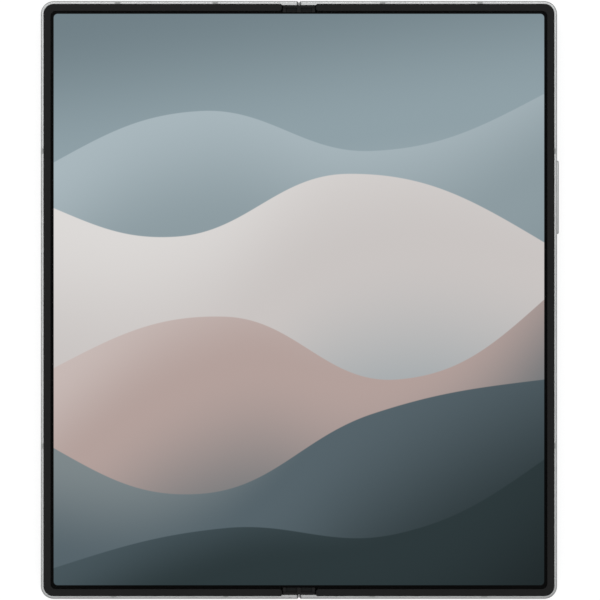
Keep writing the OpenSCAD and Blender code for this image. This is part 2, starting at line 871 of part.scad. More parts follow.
module hinge_blocks() {
    color("slategray") for (m = [-1, 1]) translate([0, m * module_y, 0]) difference() {
        union() {
            along_y(-module_l / 2, arm_at[0]) spine_section(spine_wall, z_edge);
            along_y(arm_at[0], arm_at[0] + bay) bay_section(1);
            along_y(arm_at[0] + bay, arm_at[1]) spine_section(spine_wall, z_edge);
            along_y(arm_at[1], arm_at[1] + bay) bay_section(-1);
            along_y(arm_at[1] + bay, module_l / 2) spine_section(spine_wall, z_edge);
        }
        for (x = [-1, 1]) {
            translate([x * axis_x, 0, spring_z()]) along_y(spring_y[0], spring_y[1])
                circle(spring_r + 0.05);
            for (y = spine_screw_y()) translate([x * spine_screw_x(), y, z_edge - 0.3])
                cylinder(r = 0.65, h = over);
            for (y = spine_screw_y()) translate([x * spine_screw_x(), y, z_spine])
                cylinder(r = 0.4, h = rail_t);
        }
    }
}

function spring_z() = z_spine + spine_wall + 0.65;
function spine_screw_y() = [-module_l / 2 + 1, module_l / 2 - 1.2];
function spine_screw_x() = axis_x - 0.3;

// Springs behind the detent cams, one coil body for each half at each module
module detent_springs() {
    color("silver") for (m = [-1, 1], x = [-1, 1])
        translate([x * axis_x, m * module_y, spring_z()]) along_y(spring_y[0], spring_y[1])
            difference() {
                circle(spring_r);
                circle(spring_r - 0.15);
            }
}

module spine_screws() {
    color(steel) for (m = [-1, 1], x = [-1, 1], y = spine_screw_y())
        translate([x * spine_screw_x(), m * module_y + y, z_edge - 0.25])
            screw(0.6, 0.2, 0.35, z_edge - 0.25 - z_spine - spine_wall - 0.02);
}

// Solid ends of the spine, with the neck that carries the guards
module end_caps() {
    color(metal) for (side = [0, 1]) mirror([0, side, 0]) {
        along_y(guard_in, spine_end) spine_section(0, z_spine_top);
        along_y(guard_in, spine_end) translate([-axis_x, z_spine_top - 0.1])
            square([2 * axis_x, guard_low() - z_spine_top + 0.1]);
    }
}

function guard_low() = z_top - 1;

// T-shaped guards over the ends of the bend
module end_guards() {
    color([0.16, 0.16, 0.16]) for (side = [0, 1]) mirror([0, side, 0]) {
        box([-guard_x, guard_bar_in, guard_low()], [guard_x, spine_end, guard_z]);
        box([-stem_w / 2, guard_in, guard_low()], [stem_w / 2, guard_bar_in + 0.01, guard_z]);
        box([-guard_x, guard_in, guard_low()], [guard_x, guard_bar_in + 0.01, guard_low() + 0.2]);
        for (s = [0, 1]) mirror([s, 0, 0])
            box([guard_x - 0.75, guard_in, guard_low()], [guard_x, guard_bar_in - flap_gap, guard_z]);
    }
}

module guard_flaps() {
    color([0.1, 0.1, 0.1]) for (side = [0, 1], s = [0, 1]) mirror([0, side, 0]) mirror([s, 0, 0])
        box([stem_w / 2 + flap_gap, guard_in, guard_low() + 0.2],
            [guard_x - 0.75 - flap_gap, guard_bar_in - flap_gap, guard_z - 0.15]);
}

// The bending part of the screen, shown flat as it lies when open
module bend_screen() {
    color(black_glass)
        box([-bend_half, -half_h + bend_inset, z_screen], [bend_half, half_h - bend_inset, z_top]);
}

// Two flexible boards that cross the hinge under the wings, at rest flat
module hinge_flex_cables() {
    color("darkorange") for (y = [-20, 20])
        box([-mid_x + 0.2, y - 6, shelf_z + 0.05], [mid_x - 0.2, y + 6, shelf_z + 0.17]);
}

// The cover-screen half is drawn on the right and mirrored to the left
module mirrored() {
    mirror([1, 0, 0]) children();
}

module cover_frame() {
    color(metal) difference() {
        mirrored() half_frame();
        tray_slot();
        mirrored() sound_holes(ear_x, 1);
        translate([-mic_x, half_h, z_key]) rotate([90, 0, 0])
            cylinder(r = mic_r, h = 3 * rail_wall, center = true);
    }
}

module cover_antenna_breaks() {
    color(break_plastic) mirrored() half_breaks();
}

module cover_bezel() {
    color(dark_plastic) mirrored() half_bezel();
}

module cover_screen() {
    color(black_glass) mirrored() screen_layer(z_screen, z_top);
}

module cover_fibre_plate() {
    color("dimgray") mirrored() screen_layer(z_plate, z_screen);
}

module cover_pen_film() {
    color("darkgoldenrod") mirrored() pen_film();
}

module cover_glass() {
    color(black_glass) mirrored() back_glass();
}

cover_camera_y = half_h - 8.5;
cover_camera_r = 1.9;
cover_display_t = 0.6;

// Outer display under the cover glass, with the hole for the camera
module cover_display() {
    color("black") difference() {
        mirrored() linear_extrude_at(z_glass, z_glass + cover_display_t)
            half_outline(ledge_w + 0.1, bracket_out + 0.1);
        translate([-usb_x, cover_camera_y, z_glass - over]) cylinder(r = cover_camera_r + 0.1, h = 2 * over);
    }
}

module cover_camera() {
    color("dimgray") translate([-usb_x, cover_camera_y, 0]) {
        translate([0, 0, z_glass]) cylinder(r = cover_camera_r, h = cover_display_t + 0.1);
        box([-2.6, -2.6, z_glass + cover_display_t + 0.1], [2.6, 2.6, z_mid_low - 0.3]);
    }
}

display_back = z_glass + cover_display_t + 0.1;

module cover_battery() {
    color("gray") mirrored() slab([mid_x + 1.4, -half_h + 12, display_back],
        [wall_in - 2, tray_y - tray_l / 2 - 4, battery_top], 2);
}

module cover_board() {
    color(board_green) difference() {
        mirrored() union() {
            slab([mid_x + 1.2, tray_y - tray_l / 2 - 2, z_tray - tray_plate_t / 2 - 1],
                [wall_in - 3.4, half_h - 20, z_tray - tray_plate_t / 2 - 0.2]);
            slab([mid_x + 1.2, half_h - 24, z_tray - tray_plate_t / 2 - 1],
                [usb_x - 4, half_h - 4, z_tray - tray_plate_t / 2 - 0.2]);
        }
        for (p = cover_screw_places()) mirrored()
            translate([p[0], p[1], z_back]) cylinder(r = 0.6, h = z_tray - z_back + 1);
    }
}

function cover_screw_places() = [[mid_x + 3, half_h - 8], [mid_x + 3, tray_y - tray_l / 2 + 1]];

module earpiece_speaker() {
    color("dimgray") mirrored() slab([usb_x + 5, half_h - 17, display_back],
        [usb_x + 19, y_in - 0.8, battery_top]);
}

module cover_speaker_mesh() {
    color(dark_plastic) mirrored() speaker_mesh(ear_x, 1);
}

module cover_screws() {
    color(steel) mirrored() {
        for (p = cover_screw_places()) translate([p[0], p[1], z_tray - tray_plate_t / 2 - 0.2])
            screw(0.9, 0.35, 0.5, 0.8);
        plate_screws();
    }
}

module cover_hinge_brackets() {
    color(steel) mirrored() half_brackets(1);
}

module bracket_screws_cover() {
    color(steel) mirrored() bracket_screws();
}

module cover_magnets() {
    color("silver") mirrored() half_magnets();
}

// Slot through the left rail for the face and the plate of the tray
module tray_slot() {
    translate([-half_w - over, tray_y, z_tray]) rotate([0, 90, 0])
        linear_extrude(over + 3 * rail_wall)
            round_rect([-tray_h / 2 - tray_gap, -tray_l / 2 - tray_gap],
                [tray_h / 2 + tray_gap, tray_l / 2 + tray_gap], key_end_r + tray_gap);
}

// Card tray: a face in the rail, and a plate with the card's pocket
module sim_tray() {
    card = [12.4, 8.9];
    color(metal) difference() {
        union() {
            translate([-half_w, tray_y, z_tray]) rotate([0, 90, 0]) linear_extrude(rail_wall)
                round_rect([-tray_h / 2, -tray_l / 2], [tray_h / 2, tray_l / 2], key_end_r);
            box([-half_w + rail_wall - 0.1, tray_y - tray_l / 2 + 0.6, z_tray - tray_plate_t / 2],
                [-half_w + tray_d, tray_y + tray_l / 2 - 0.6, z_tray + tray_plate_t / 2]);
        }
        translate([-half_w + rail_wall + 1.2, tray_y - tray_l / 2 + 2, z_tray - 0.25])
            cube([card[1], card[0], rail_t]);
        translate([-half_w - over, tray_y + tray_l / 2 - 1.5, z_tray]) rotate([0, 90, 0])
            cylinder(r = 0.4, h = over + rail_wall + 0.6);
    }
}

module cover_wing() {
    color(steel) mirrored() half_wing();
}

main_frame();
main_antenna_breaks();
main_bezel();
main_screen();
main_fibre_plate();
main_pen_film();
rear_glass();
camera_island();
camera_rings();
camera_windows();
camera_modules();
flash_lens();
main_board();
board_shields();
vapour_chamber();
main_battery();
charging_coil();
usb_socket();
bottom_speaker();
haptic_motor();
key_flex();
main_screws();
main_hinge_brackets();
bracket_screws_main();
under_screen_camera();
main_magnets();
main_speaker_mesh();
volume_key();
power_key();
fingerprint_sensor();
main_wing();
spine_cover();
hinge_blocks();
end_caps();
end_guards();
guard_flaps();
detent_springs();
spine_screws();
bend_screen();
hinge_flex_cables();
cover_frame();
cover_antenna_breaks();
cover_bezel();
cover_screen();
cover_fibre_plate();
cover_pen_film();
cover_glass();
cover_display();
cover_camera();
cover_battery();
cover_board();
earpiece_speaker();
cover_speaker_mesh();
cover_screws();
cover_hinge_brackets();
bracket_screws_cover();
cover_magnets();
sim_tray();
cover_wing();
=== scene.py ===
"""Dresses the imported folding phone: its finishes, the lit folding screen, the lenses and the stage.

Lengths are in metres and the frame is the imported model's own: +Y is the top of the phone,
+X the half with the keys and +Z the screen side.
"""

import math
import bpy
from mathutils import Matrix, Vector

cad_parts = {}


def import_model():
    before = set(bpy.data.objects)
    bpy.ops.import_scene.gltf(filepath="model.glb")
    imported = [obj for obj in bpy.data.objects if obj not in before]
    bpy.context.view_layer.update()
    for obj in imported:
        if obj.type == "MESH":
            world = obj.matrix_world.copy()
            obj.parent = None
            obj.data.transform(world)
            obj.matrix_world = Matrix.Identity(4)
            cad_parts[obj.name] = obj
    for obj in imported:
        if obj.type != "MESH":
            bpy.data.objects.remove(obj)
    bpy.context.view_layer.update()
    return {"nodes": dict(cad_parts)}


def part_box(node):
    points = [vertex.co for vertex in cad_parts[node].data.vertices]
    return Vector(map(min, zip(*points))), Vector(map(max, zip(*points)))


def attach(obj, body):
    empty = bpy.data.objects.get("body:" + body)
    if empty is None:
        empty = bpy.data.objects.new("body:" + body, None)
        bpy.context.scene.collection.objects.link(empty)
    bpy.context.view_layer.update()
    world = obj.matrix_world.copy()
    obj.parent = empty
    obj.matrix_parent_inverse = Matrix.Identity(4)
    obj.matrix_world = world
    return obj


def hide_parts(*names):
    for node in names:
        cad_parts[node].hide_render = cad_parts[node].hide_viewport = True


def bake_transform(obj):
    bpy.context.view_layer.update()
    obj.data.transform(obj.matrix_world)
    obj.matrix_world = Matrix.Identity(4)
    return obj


bl_info = {
    "name": "Folding phone",
    "version": (1, 0, 0),
    "blender": (4, 5, 0),
    "location": "View3D > Sidebar > Folding phone",
    "description": "Finishes, lit screen, lenses and stage for a folding phone",
    "category": "Object",
}

import bmesh
import bpy
from bpy.props import FloatProperty, FloatVectorProperty, IntProperty, PointerProperty
from mathutils import Vector

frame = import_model()
MM = 0.001


# Nodes


def linear(code):
    """An sRGB hex colour as linear red, green, blue and alpha."""
    parts = [int(code[i : i + 2], 16) / 255 for i in (1, 3, 5)]
    return [c / 12.92 if c <= 0.04045 else ((c + 0.055) / 1.055) ** 2.4 for c in parts] + [1.0]


def put(tree, kind, inputs=None, **settings):
    """Adds a node. A socket among the inputs is linked, and any other value is set."""
    made = tree.nodes.new(kind)
    for name, value in settings.items():
        setattr(made, name, value)
    for name, value in (inputs or {}).items():
        if isinstance(value, bpy.types.NodeSocket):
            tree.links.new(value, made.inputs[name])
        else:
            made.inputs[name].default_value = value
    return made


def number(tree, operation, *values):
    """A number worked out from others."""
    return put(tree, "ShaderNodeMath", dict(enumerate(values)), operation=operation).outputs[0]


def vector(tree, operation, *values):
    """A vector worked out from others."""
    return put(tree, "ShaderNodeVectorMath", dict(enumerate(values)), operation=operation).outputs[0]


def ramp(tree, value, start, end, low, high, kind="LINEAR"):
    """Goes from low to high while the value goes from start to end."""
    return put(tree, "ShaderNodeMapRange",
               {"Value": value, "From Min": start, "From Max": end, "To Min": low, "To Max": high},
               interpolation_type=kind).outputs[0]


def mixed(tree, factor, first, second):
    """A colour mixed from two others."""
    return put(tree, "ShaderNodeMix", {"Factor": factor, "A": first, "B": second},
               data_type="RGBA").outputs["Result"]


def on_object(tree):
    """The place on the object, in metres."""
    return put(tree, "ShaderNodeTexCoord").outputs["Object"]


def outside(tree, place, half):
    """How far a place is outside a rectangle about the origin, given half of its size."""
    over = vector(tree, "SUBTRACT", vector(tree, "ABSOLUTE", place), half)
    over = vector(tree, "MAXIMUM", over, (0, 0, 0))
    return put(tree, "ShaderNodeVectorMath", {0: over}, operation="LENGTH").outputs["Value"]


def bands(tree, size, direction):
    """Soft bands across one direction, a third of the size apart."""
    return put(tree, "ShaderNodeTexWave", {"Vector": on_object(tree), "Scale": 1 / size},
               wave_type="BANDS", bands_direction=direction).outputs["Fac"]


def blank_tree(owner):
    """The emptied node tree of a material or world."""
    owner.use_nodes = True
    owner.node_tree.nodes.clear()
    return owner.node_tree


def surface(name, **constants):
    """A new material and its Principled shader, with the constants set on the shader's sockets."""
    material = bpy.data.materials.new(name)
    tree = blank_tree(material)
    names = {key.replace("_", " ").title().replace("Ior", "IOR"): v for key, v in constants.items()}
    shader = put(tree, "ShaderNodeBsdfPrincipled", names)
    put(tree, "ShaderNodeOutputMaterial", {"Surface": shader.outputs[0]})
    return material, tree, shader


def grain(tree, size, detail=2.0):
    """Noise in the object's own space, with grains of that size in metres."""
    return put(tree, "ShaderNodeTexNoise",
               {"Vector": on_object(tree), "Scale": 1 / size, "Detail": detail}).outputs["Fac"]


def spread(tree, value, low, high):
    """Noise, most of which lies between 0.3 and 0.7, spread between two values."""
    return ramp(tree, value, 0.3, 0.7, low, high)


def roughen(tree, shader, value, low, high):
    """Varies the shader's roughness between two values by noise."""
    tree.links.new(spread(tree, value, low, high), shader.inputs["Roughness"])


def relief(tree, shader, height, depth, strength):
    """Bumps of that depth in metres on the shader."""
    bump = put(tree, "ShaderNodeBump", {"Height": height, "Distance": depth, "Strength": strength})
    tree.links.new(bump.outputs[0], shader.inputs["Normal"])


def paint(tree, shader, colour):
    """Gives the shader a colour that varies."""
    tree.links.new(colour, shader.inputs["Base Color"])


def tint(tree, shader, value, dark, light):
    """Colours the shader between two colours by noise."""
    paint(tree, shader, mixed(tree, spread(tree, value, 0, 1), dark, light))


def shade(colour, factor):
    """A colour made darker or lighter by a factor."""
    return [min(1.0, c * factor) for c in colour[:3]] + [1.0]


# Finishes


def blasted_anodised_aluminium(name, colour, roughness):
    """Bead-blasted and anodised aluminium: a soft even sheen with a fine frosted grain."""
    material, tree, shader = surface(name, metallic=1.0)
    # blasted pits are about 0.05 mm; drawn at 0.12 mm so that they show
    pits = grain(tree, 0.12 * MM)
    drift = grain(tree, 14 * MM)
    tint(tree, shader, drift, shade(colour, 0.96), shade(colour, 1.03))
    roughen(tree, shader, pits, roughness - 0.02, roughness + 0.03)
    relief(tree, shader, pits, 0.002 * MM, strength=0.12)
    return material


def turned_steel(name, colour, roughness):
    """Turned and polished steel: fine tool marks that draw the highlight out."""
    material, tree, shader = surface(name, metallic=1.0)
    marks = grain(tree, 0.1 * MM, 3.0)
    tint(tree, shader, marks, shade(colour, 0.93), shade(colour, 1.04))
    roughen(tree, shader, marks, roughness, roughness + 0.08)
    relief(tree, shader, marks, 0.002 * MM, strength=0.3)
    return material


def moulded_matt_plastic(name, colour, roughness, specular):
    """Moulded glass-filled plastic from a spark-eroded tool: a fine dry texture, almost no shine."""
    material, tree, shader = surface(name, ior=1.5, specular_ior_level=specular)
    # the tool's texture is about 0.08 mm; drawn at 0.15 mm so that it shows
    texture = grain(tree, 0.15 * MM, 3.0)
    tint(tree, shader, texture, shade(colour, 0.88), shade(colour, 1.12))
    roughen(tree, shader, texture, roughness - 0.06, roughness + 0.06)
    relief(tree, shader, texture, 0.006 * MM, strength=0.4)
    return material


def soft_rubber(name, colour):
    """Moulded silicone rubber: dead matt, with a faint bloom."""
    material, tree, shader = surface(name, ior=1.41, specular_ior_level=0.15)
    bloom = grain(tree, 0.3 * MM, 3.0)
    tint(tree, shader, bloom, shade(colour, 0.85), shade(colour, 1.2))
    roughen(tree, shader, bloom, 0.7, 0.85)
    relief(tree, shader, bloom, 0.005 * MM, strength=0.3)
    return material


def etched_back_glass(name, colour):
    """Acid-etched glass over a metallic tint: a pale silk sheen with a soft clear depth."""
    material, tree, shader = surface(
        name, metallic=0.35, ior=1.5, coat_weight=0.35, coat_roughness=0.22, coat_ior=1.5)
    flakes = grain(tree, 0.1 * MM)
    drift = grain(tree, 30 * MM)
    tint(tree, shader, drift, shade(colour, 0.985), shade(colour, 1.01))
    roughen(tree, shader, flakes, 0.34, 0.44)
    relief(tree, shader, flakes, 0.002 * MM, strength=0.25)
    return material


def clear_polished_glass(name):
    """Polished thin glass with a film against glare: clear, a little smoky, with no shine of its own."""
    # the film takes the window's reflection away, so the shine is that of the coated lens below
    material, tree, shader = surface(
        name, base_color=linear("#060708"), roughness=0.05, ior=1.5, specular_ior_level=0.0)
    # smears from wiping, about 6 mm across, which dim what is seen through them
    wiped = grain(tree, 6 * MM, 3.0)
    tree.links.new(spread(tree, wiped, 0.08, 0.16), shader.inputs["Alpha"])
    return material


def printed_cover_glass(name, low, high):
    """Polished glass bonded to a dark display, with black ink round its edge: deep black and glossy."""
    material, tree, shader = surface(name, ior=1.5, specular_ior_level=0.35)
    ink_width, corner, soft = 3 * MM, 1.5 * MM, 0.03 * MM
    middle = ((low.x + high.x) / 2, 0, 0)
    half = ((high.x - low.x) / 2 - ink_width - corner, high.y - ink_width - corner, 1)
    away = outside(tree, vector(tree, "SUBTRACT", on_object(tree), middle), half)
    ink = ramp(tree, away, corner - soft, corner + soft, 0, 1)
    # the display behind the glass is a shade bluer than the ink
    paint(tree, shader, mixed(tree, ink, linear("#0B0D11"), linear("#030303")))
    roughen(tree, shader, grain(tree, 8 * MM, 3.0), 0.03, 0.07)
    return material


def coated_lens_glass(name, colour, film):
    """Polished lens glass with a vapour coating, in nanometres: near black, with a blue glint."""
    material, tree, shader = surface(
        name, ior=1.7, specular_ior_level=0.5, thin_film_thickness=film, thin_film_ior=1.38)
    cloud = grain(tree, 3 * MM)
    tint(tree, shader, cloud, shade(colour, 0.7), colour)
    roughen(tree, shader, cloud, 0.03, 0.07)
    return material


def ridged_flash_plastic(name):
    """Moulded acrylic over yellow phosphor: milky cream with a soft gloss."""
    material, tree, shader = surface(name, ior=1.49, coat_weight=0.4, coat_roughness=0.1)
    cloud = grain(tree, 0.6 * MM)
    tint(tree, shader, cloud, linear("#E6D9A6"), linear("#F3EAC9"))
    roughen(tree, shader, cloud, 0.12, 0.22)
    return material


def solder_mask_laminate(name, colour):
    """Glass laminate under solder mask: a satin green with copper tracks just showing."""
    material, tree, shader = surface(name, ior=1.5, specular_ior_level=0.5)
    tracks = put(tree, "ShaderNodeTexBrick", {
        "Vector": on_object(tree), "Scale": 1 / (1.6 * MM), "Mortar Size": 0.08,
        "Color1": shade(colour, 0.9), "Color2": colour, "Mortar": shade(colour, 1.7)})
    paint(tree, shader, tracks.outputs["Color"])
    roughen(tree, shader, grain(tree, 0.4 * MM), 0.3, 0.42)
    relief(tree, shader, tracks.outputs["Fac"], 0.01 * MM, strength=0.3)
    return material


def rolled_sheet_metal(name, colour, roughness):
    """Rolled and pressed sheet: fine straight lines along the roll."""
    material, tree, shader = surface(name, metallic=1.0)
    # lines 0.08 mm wide and 4 mm long, along Y
    scale = (1 / (0.08 * MM), 1 / (4 * MM), 1 / (0.08 * MM))
    drawn = put(tree, "ShaderNodeMapping", {"Vector": on_object(tree), "Scale": scale}).outputs[0]
    lines = put(tree, "ShaderNodeTexNoise", {"Vector": drawn, "Scale": 1.0, "Detail": 3.0}).outputs["Fac"]
    tint(tree, shader, lines, shade(colour, 0.9), shade(colour, 1.08))
    roughen(tree, shader, lines, roughness, roughness + 0.15)
    relief(tree, shader, lines, 0.003 * MM, strength=0.3)
    return material


def wrapped_battery_foil(name, colour):
    """Aluminium laminate pouch under a matt label film: slightly wavy and dull."""
    material, tree, shader = surface(name, metallic=0.3, ior=1.5)
    waves = grain(tree, 9 * MM, 1.0)
    tint(tree, shader, waves, shade(colour, 0.85), shade(colour, 1.15))
    roughen(tree, shader, grain(tree, 0.5 * MM), 0.4, 0.52)
    relief(tree, shader, waves, 0.05 * MM, strength=0.5)
    return material


def polyimide_flex(name, colour):
    """Polyimide film over etched copper: amber, with lighter tracks that run across the hinge."""
    material, tree, shader = surface(name, ior=1.7, specular_ior_level=0.5)
    # tracks are 0.5 mm apart; drawn 1 mm apart so that they show
    tracks = bands(tree, 3.2 * MM, "Y")
    paint(tree, shader, mixed(tree, tracks, shade(colour, 0.75), shade(colour, 1.25)))
    roughen(tree, shader, grain(tree, 0.3 * MM), 0.3, 0.4)
    relief(tree, shader, tracks, 0.01 * MM, strength=0.4)
    return material


def woven_steel_mesh(name, colour):
    """Woven stainless mesh behind the sound holes: dark, with fine bright wires."""
    material, tree, shader = surface(name, metallic=1.0)
    # wires are 0.1 mm apart; drawn 0.3 mm apart so that they show
    wires = number(tree, "MAXIMUM", bands(tree, 1.0 * MM, "X"), bands(tree, 1.0 * MM, "Z"))
    paint(tree, shader, mixed(tree, wires, linear("#050505"), colour))
    roughen(tree, shader, wires, 0.5, 0.35)
    relief(tree, shader, wires, 0.02 * MM, strength=0.6)
    return material


# Each ridge: its crest line from left to right, its colours down from the crest, and how much it darkens
# to the right
DUNES = [
    ([(0, 0.74), (0.3, 0.83), (0.65, 0.76), (1, 0.86)],
     [(0, "#A9B7BD"), (0.25, "#8C9BA1"), (0.6, "#75848A")], 0.1),
    ([(0, 0.66), (0.25, 0.61), (0.6, 0.72), (1, 0.6)],
     [(0, "#DCD9D7"), (0.3, "#C9C4C2"), (0.7, "#8E9CA2")], 0.25),
    ([(0, 0.38), (0.35, 0.47), (0.7, 0.36), (1, 0.5)],
     [(0, "#C7B9B5"), (0.2, "#B3A09B"), (0.5, "#6E7477")], 0.3),
    ([(0, 0.24), (0.3, 0.16), (0.65, 0.3), (1, 0.36)],
     [(0, "#7E888B"), (0.2, "#55636A"), (0.6, "#293437")], 0.35),
    ([(0, 0.03), (0.35, 0.1), (0.7, 0.09), (1, 0.22)],
     [(0, "#46545A"), (0.15, "#2B373A"), (0.5, "#1B2325")], 0.2),
]


def dune_picture(tree, u, v):
    """A generic picture: soft dune ridges, pale at the left and dark at the lower right."""
    sky = put(tree, "ShaderNodeValToRGB", {"Fac": number(tree, "MULTIPLY_ADD", u, -0.12, v)})
    paint_ramp(sky.color_ramp, [(0.45, "#B9C4C8"), (0.72, "#8FA0A7"), (1.0, "#6F7F86")])
    colour = sky.outputs["Color"]
    crest_softness = 0.0008
    for crest, steps, lean in DUNES:
        line = put(tree, "ShaderNodeFloatCurve", {"Value": u})
        shape_curve(line.mapping, crest)
        depth = number(tree, "SUBTRACT", line.outputs[0], v)
        below = ramp(tree, depth, -crest_softness, crest_softness, 0, 1)
        body = put(tree, "ShaderNodeValToRGB", {"Fac": number(tree, "MULTIPLY_ADD", u, lean, depth)})
        paint_ramp(body.color_ramp, steps)
        colour = mixed(tree, below, colour, body.outputs["Color"])
    return colour


def paint_ramp(colours, steps):
    """Sets a colour ramp's stops from places and hex colours."""
    colours.interpolation = "EASE"
    first, last = colours.elements[0], colours.elements[1]
    first.position, last.position = steps[0][0], steps[-1][0]
    first.color, last.color = linear(steps[0][1]), linear(steps[-1][1])
    for place, code in steps[1:-1]:
        colours.elements.new(place).color = linear(code)


def shape_curve(mapping, points):
    """Sets a curve node's points, from left to right."""
    curve = mapping.curves[0]
    for place in points[1:-1]:
        curve.points.new(*place)
    for point, place in zip(curve.points, points):
        point.location = place
    mapping.update()


def lit_folding_screen(name, sizes):
    """A folding panel under its glossy film: black round the edge, and lit inside it."""
    material, tree, shader = surface(
        name, base_color=linear("#060606"), roughness=0.08, ior=1.45, specular_ior_level=0.35,
        emission_strength=1.0)
    uv = put(tree, "ShaderNodeUVMap", uv_map="Panel").outputs[0]
    parts = put(tree, "ShaderNodeSeparateXYZ", {0: uv}).outputs
    picture = dune_picture(tree, parts["X"], parts["Y"])
    width, height, radius, soft = sizes.lit_width, sizes.lit_height, sizes.lit_corner, 0.04 * MM
    place = vector(tree, "SUBTRACT", uv, (0.5, 0.5, 0))
    place = vector(tree, "MULTIPLY", place, (width, height, 0))
    away = outside(tree, place, (width / 2 - radius, height / 2 - radius, 0))
    lit = ramp(tree, away, radius - soft, radius + soft, 1, 0)
    tree.links.new(mixed(tree, lit, linear("#020202"), picture), shader.inputs["Emission Color"])
    return material


# Meshes


def dress(material, *names):
    """Gives CAD nodes a material."""
    for name in names:
        node = frame["nodes"][name]
        if not node.material_slots:
            node.data.materials.append(material)
        for slot in node.material_slots:
            slot.material = material


def soften(width, *names):
    """Rounds the edges of CAD nodes with modifiers, which leave their meshes as they are."""
    for name in names:
        node = frame["nodes"][name]
        weld = node.modifiers.new("weld", "WELD")
        weld.merge_threshold = 0.001 * MM
        bevel = node.modifiers.new("bevel", "BEVEL")
        bevel.width = width
        bevel.segments = 3
        bevel.limit_method = "ANGLE"
        bevel.angle_limit = math.radians(50)
        bevel.use_clamp_overlap = False
        bevel.harden_normals = True
        even = node.modifiers.new("even", "WEIGHTED_NORMAL")
        even.keep_sharp = True


def placed(name, data):
    """A new object in the scene."""
    made = bpy.data.objects.new(name, data)
    bpy.context.scene.collection.objects.link(made)
    return made


def piece_from(made, name, material, smooth=False):
    """Makes an object of a bmesh. Faces square to an axis stay flat in a smooth one."""
    mesh = bpy.data.meshes.new(name)
    bmesh.ops.recalc_face_normals(made, faces=made.faces)
    made.to_mesh(mesh)
    made.free()
    square = 0.99999
    for face in mesh.polygons:
        face.use_smooth = smooth and max(abs(part) for part in face.normal) < square
    if smooth:
        mesh.set_sharp_from_angle(angle=math.radians(40))
    mesh.materials.append(material)
    return placed(name, mesh)


def circle(made, x, y, radius, z, steps):
    """Vertices round a vertical axis."""
    turns = (2 * math.pi * i / steps for i in range(steps))
    return [made.verts.new((x + radius * math.cos(a), y + radius * math.sin(a), z)) for a in turns]


def skin(made, rings, closed=True):
    """Joins rings of vertices with faces, and closes the first and the last ring."""
    for a, b in zip(rings, rings[1:]):
        for i in range(len(a)):
            j = (i + 1) % len(a)
            made.faces.new((a[i], a[j], b[j], b[i]))
    if closed:
        made.faces.new(rings[0])
        made.faces.new(rings[-1])


def fill(made, *loops):
    """Closes the area between an outer loop of vertices and the holes in it."""
    edges = [made.edges.get(pair) for loop in loops for pair in zip(loop, loop[1:] + loop[:1])]
    bmesh.ops.triangle_fill(made, edges=edges, use_beauty=True)


def lathe(made, centre, profile):
    """Turns a closed line of radius and height round a vertical axis."""
    steps, on_axis = 64, 1e-9
    rings = []
    for radius, z in profile:
        if radius < on_axis:
            rings.append([made.verts.new((centre.x, centre.y, z))] * steps)
        else:
            rings.append(circle(made, centre.x, centre.y, radius, z, steps))
    for a, b in zip(rings, rings[1:] + rings[:1]):
        for i in range(steps):
            j = (i + 1) % steps
            corners = list(dict.fromkeys((a[i], a[j], b[j], b[i])))
            if len(corners) > 2:
                made.faces.new(corners)


def dome(made, centre, radius, z, rise):
    """A shallow lens that bulges down towards its window."""
    rim = 0.05 * MM
    turns = (i * math.pi / 16 for i in range(9))
    bulge = [(radius * math.cos(a), z - rise * math.sin(a)) for a in turns]
    lathe(made, centre, [(radius, z + rim)] + bulge + [(0, z + rim)])


def rounded(radius):
    """The steps across a rounded edge, from one of its faces to the other."""
    turns = (i * math.pi / 8 for i in range(5))
    return [(radius * (1 - math.sin(a)), radius * (1 - math.cos(a))) for a in turns]


def middle_of(low, high):
    """The middle of a box in X and Y, at a height of zero."""
    return Vector(((low.x + high.x) / 2, (low.y + high.y) / 2, 0))


# Settings


class ScreenSettings(bpy.types.PropertyGroup):
    """Sizes of the lit screen"""

    lit_width: FloatProperty(
        name="Lit width", description="Width of the lit area", default=0.1259, unit="LENGTH", precision=4)
    lit_height: FloatProperty(
        name="Lit height", description="Height of the lit area", default=0.14666, unit="LENGTH",
        precision=4)
    lit_rise: FloatProperty(
        name="Lit offset", description="How far the lit area sits above the middle", default=0.00012,
        unit="LENGTH", precision=5)
    lit_corner: FloatProperty(
        name="Corner", description="Radius of the lit area's corners", default=0.001, unit="LENGTH",
        precision=4)
    crease: FloatProperty(
        name="Crease", description="Depth of the crease along the fold", default=0.00005, unit="LENGTH",
        precision=5)
    bend: FloatProperty(
        name="Bend", description="Half width of the part that bends", default=0.006, unit="LENGTH",
        precision=4)


class FinishSettings(bpy.types.PropertyGroup):
    """Colours, roughness and rounding of the finishes"""

    rail: FloatVectorProperty(
        name="Rail", description="Anodised rails and keys", default=linear("#9E9F9F"), size=4,
        subtype="COLOR", min=0, max=1)
    rail_roughness: FloatProperty(
        name="Rail roughness", description="How satin the rails are", default=0.34, min=0.1, max=0.9,
        subtype="FACTOR")
    breaks: FloatVectorProperty(
        name="Breaks", description="Plastic breaks in the rails", default=linear("#9C9E9D"), size=4,
        subtype="COLOR", min=0, max=1)
    bezel: FloatVectorProperty(
        name="Bezel", description="Raised bezel and guards", default=linear("#151515"), size=4,
        subtype="COLOR", min=0, max=1)
    flaps: FloatVectorProperty(
        name="Flaps", description="Rubber flaps between the guards", default=linear("#161717"), size=4,
        subtype="COLOR", min=0, max=1)
    back: FloatVectorProperty(
        name="Back", description="Etched back glass", default=linear("#B7BBBD"), size=4,
        subtype="COLOR", min=0, max=1)
    key_round: FloatProperty(
        name="Key rounding", description="Rounding of the volume key's edges", default=0.00035,
        unit="LENGTH", precision=5)
    island_round: FloatProperty(
        name="Island rounding", description="Rounding of the camera island and rings", default=0.00018,
        unit="LENGTH", precision=5)
    ring: FloatVectorProperty(
        name="Rings", description="Camera rings", default=linear("#C4C7C9"), size=4,
        subtype="COLOR", min=0, max=1)


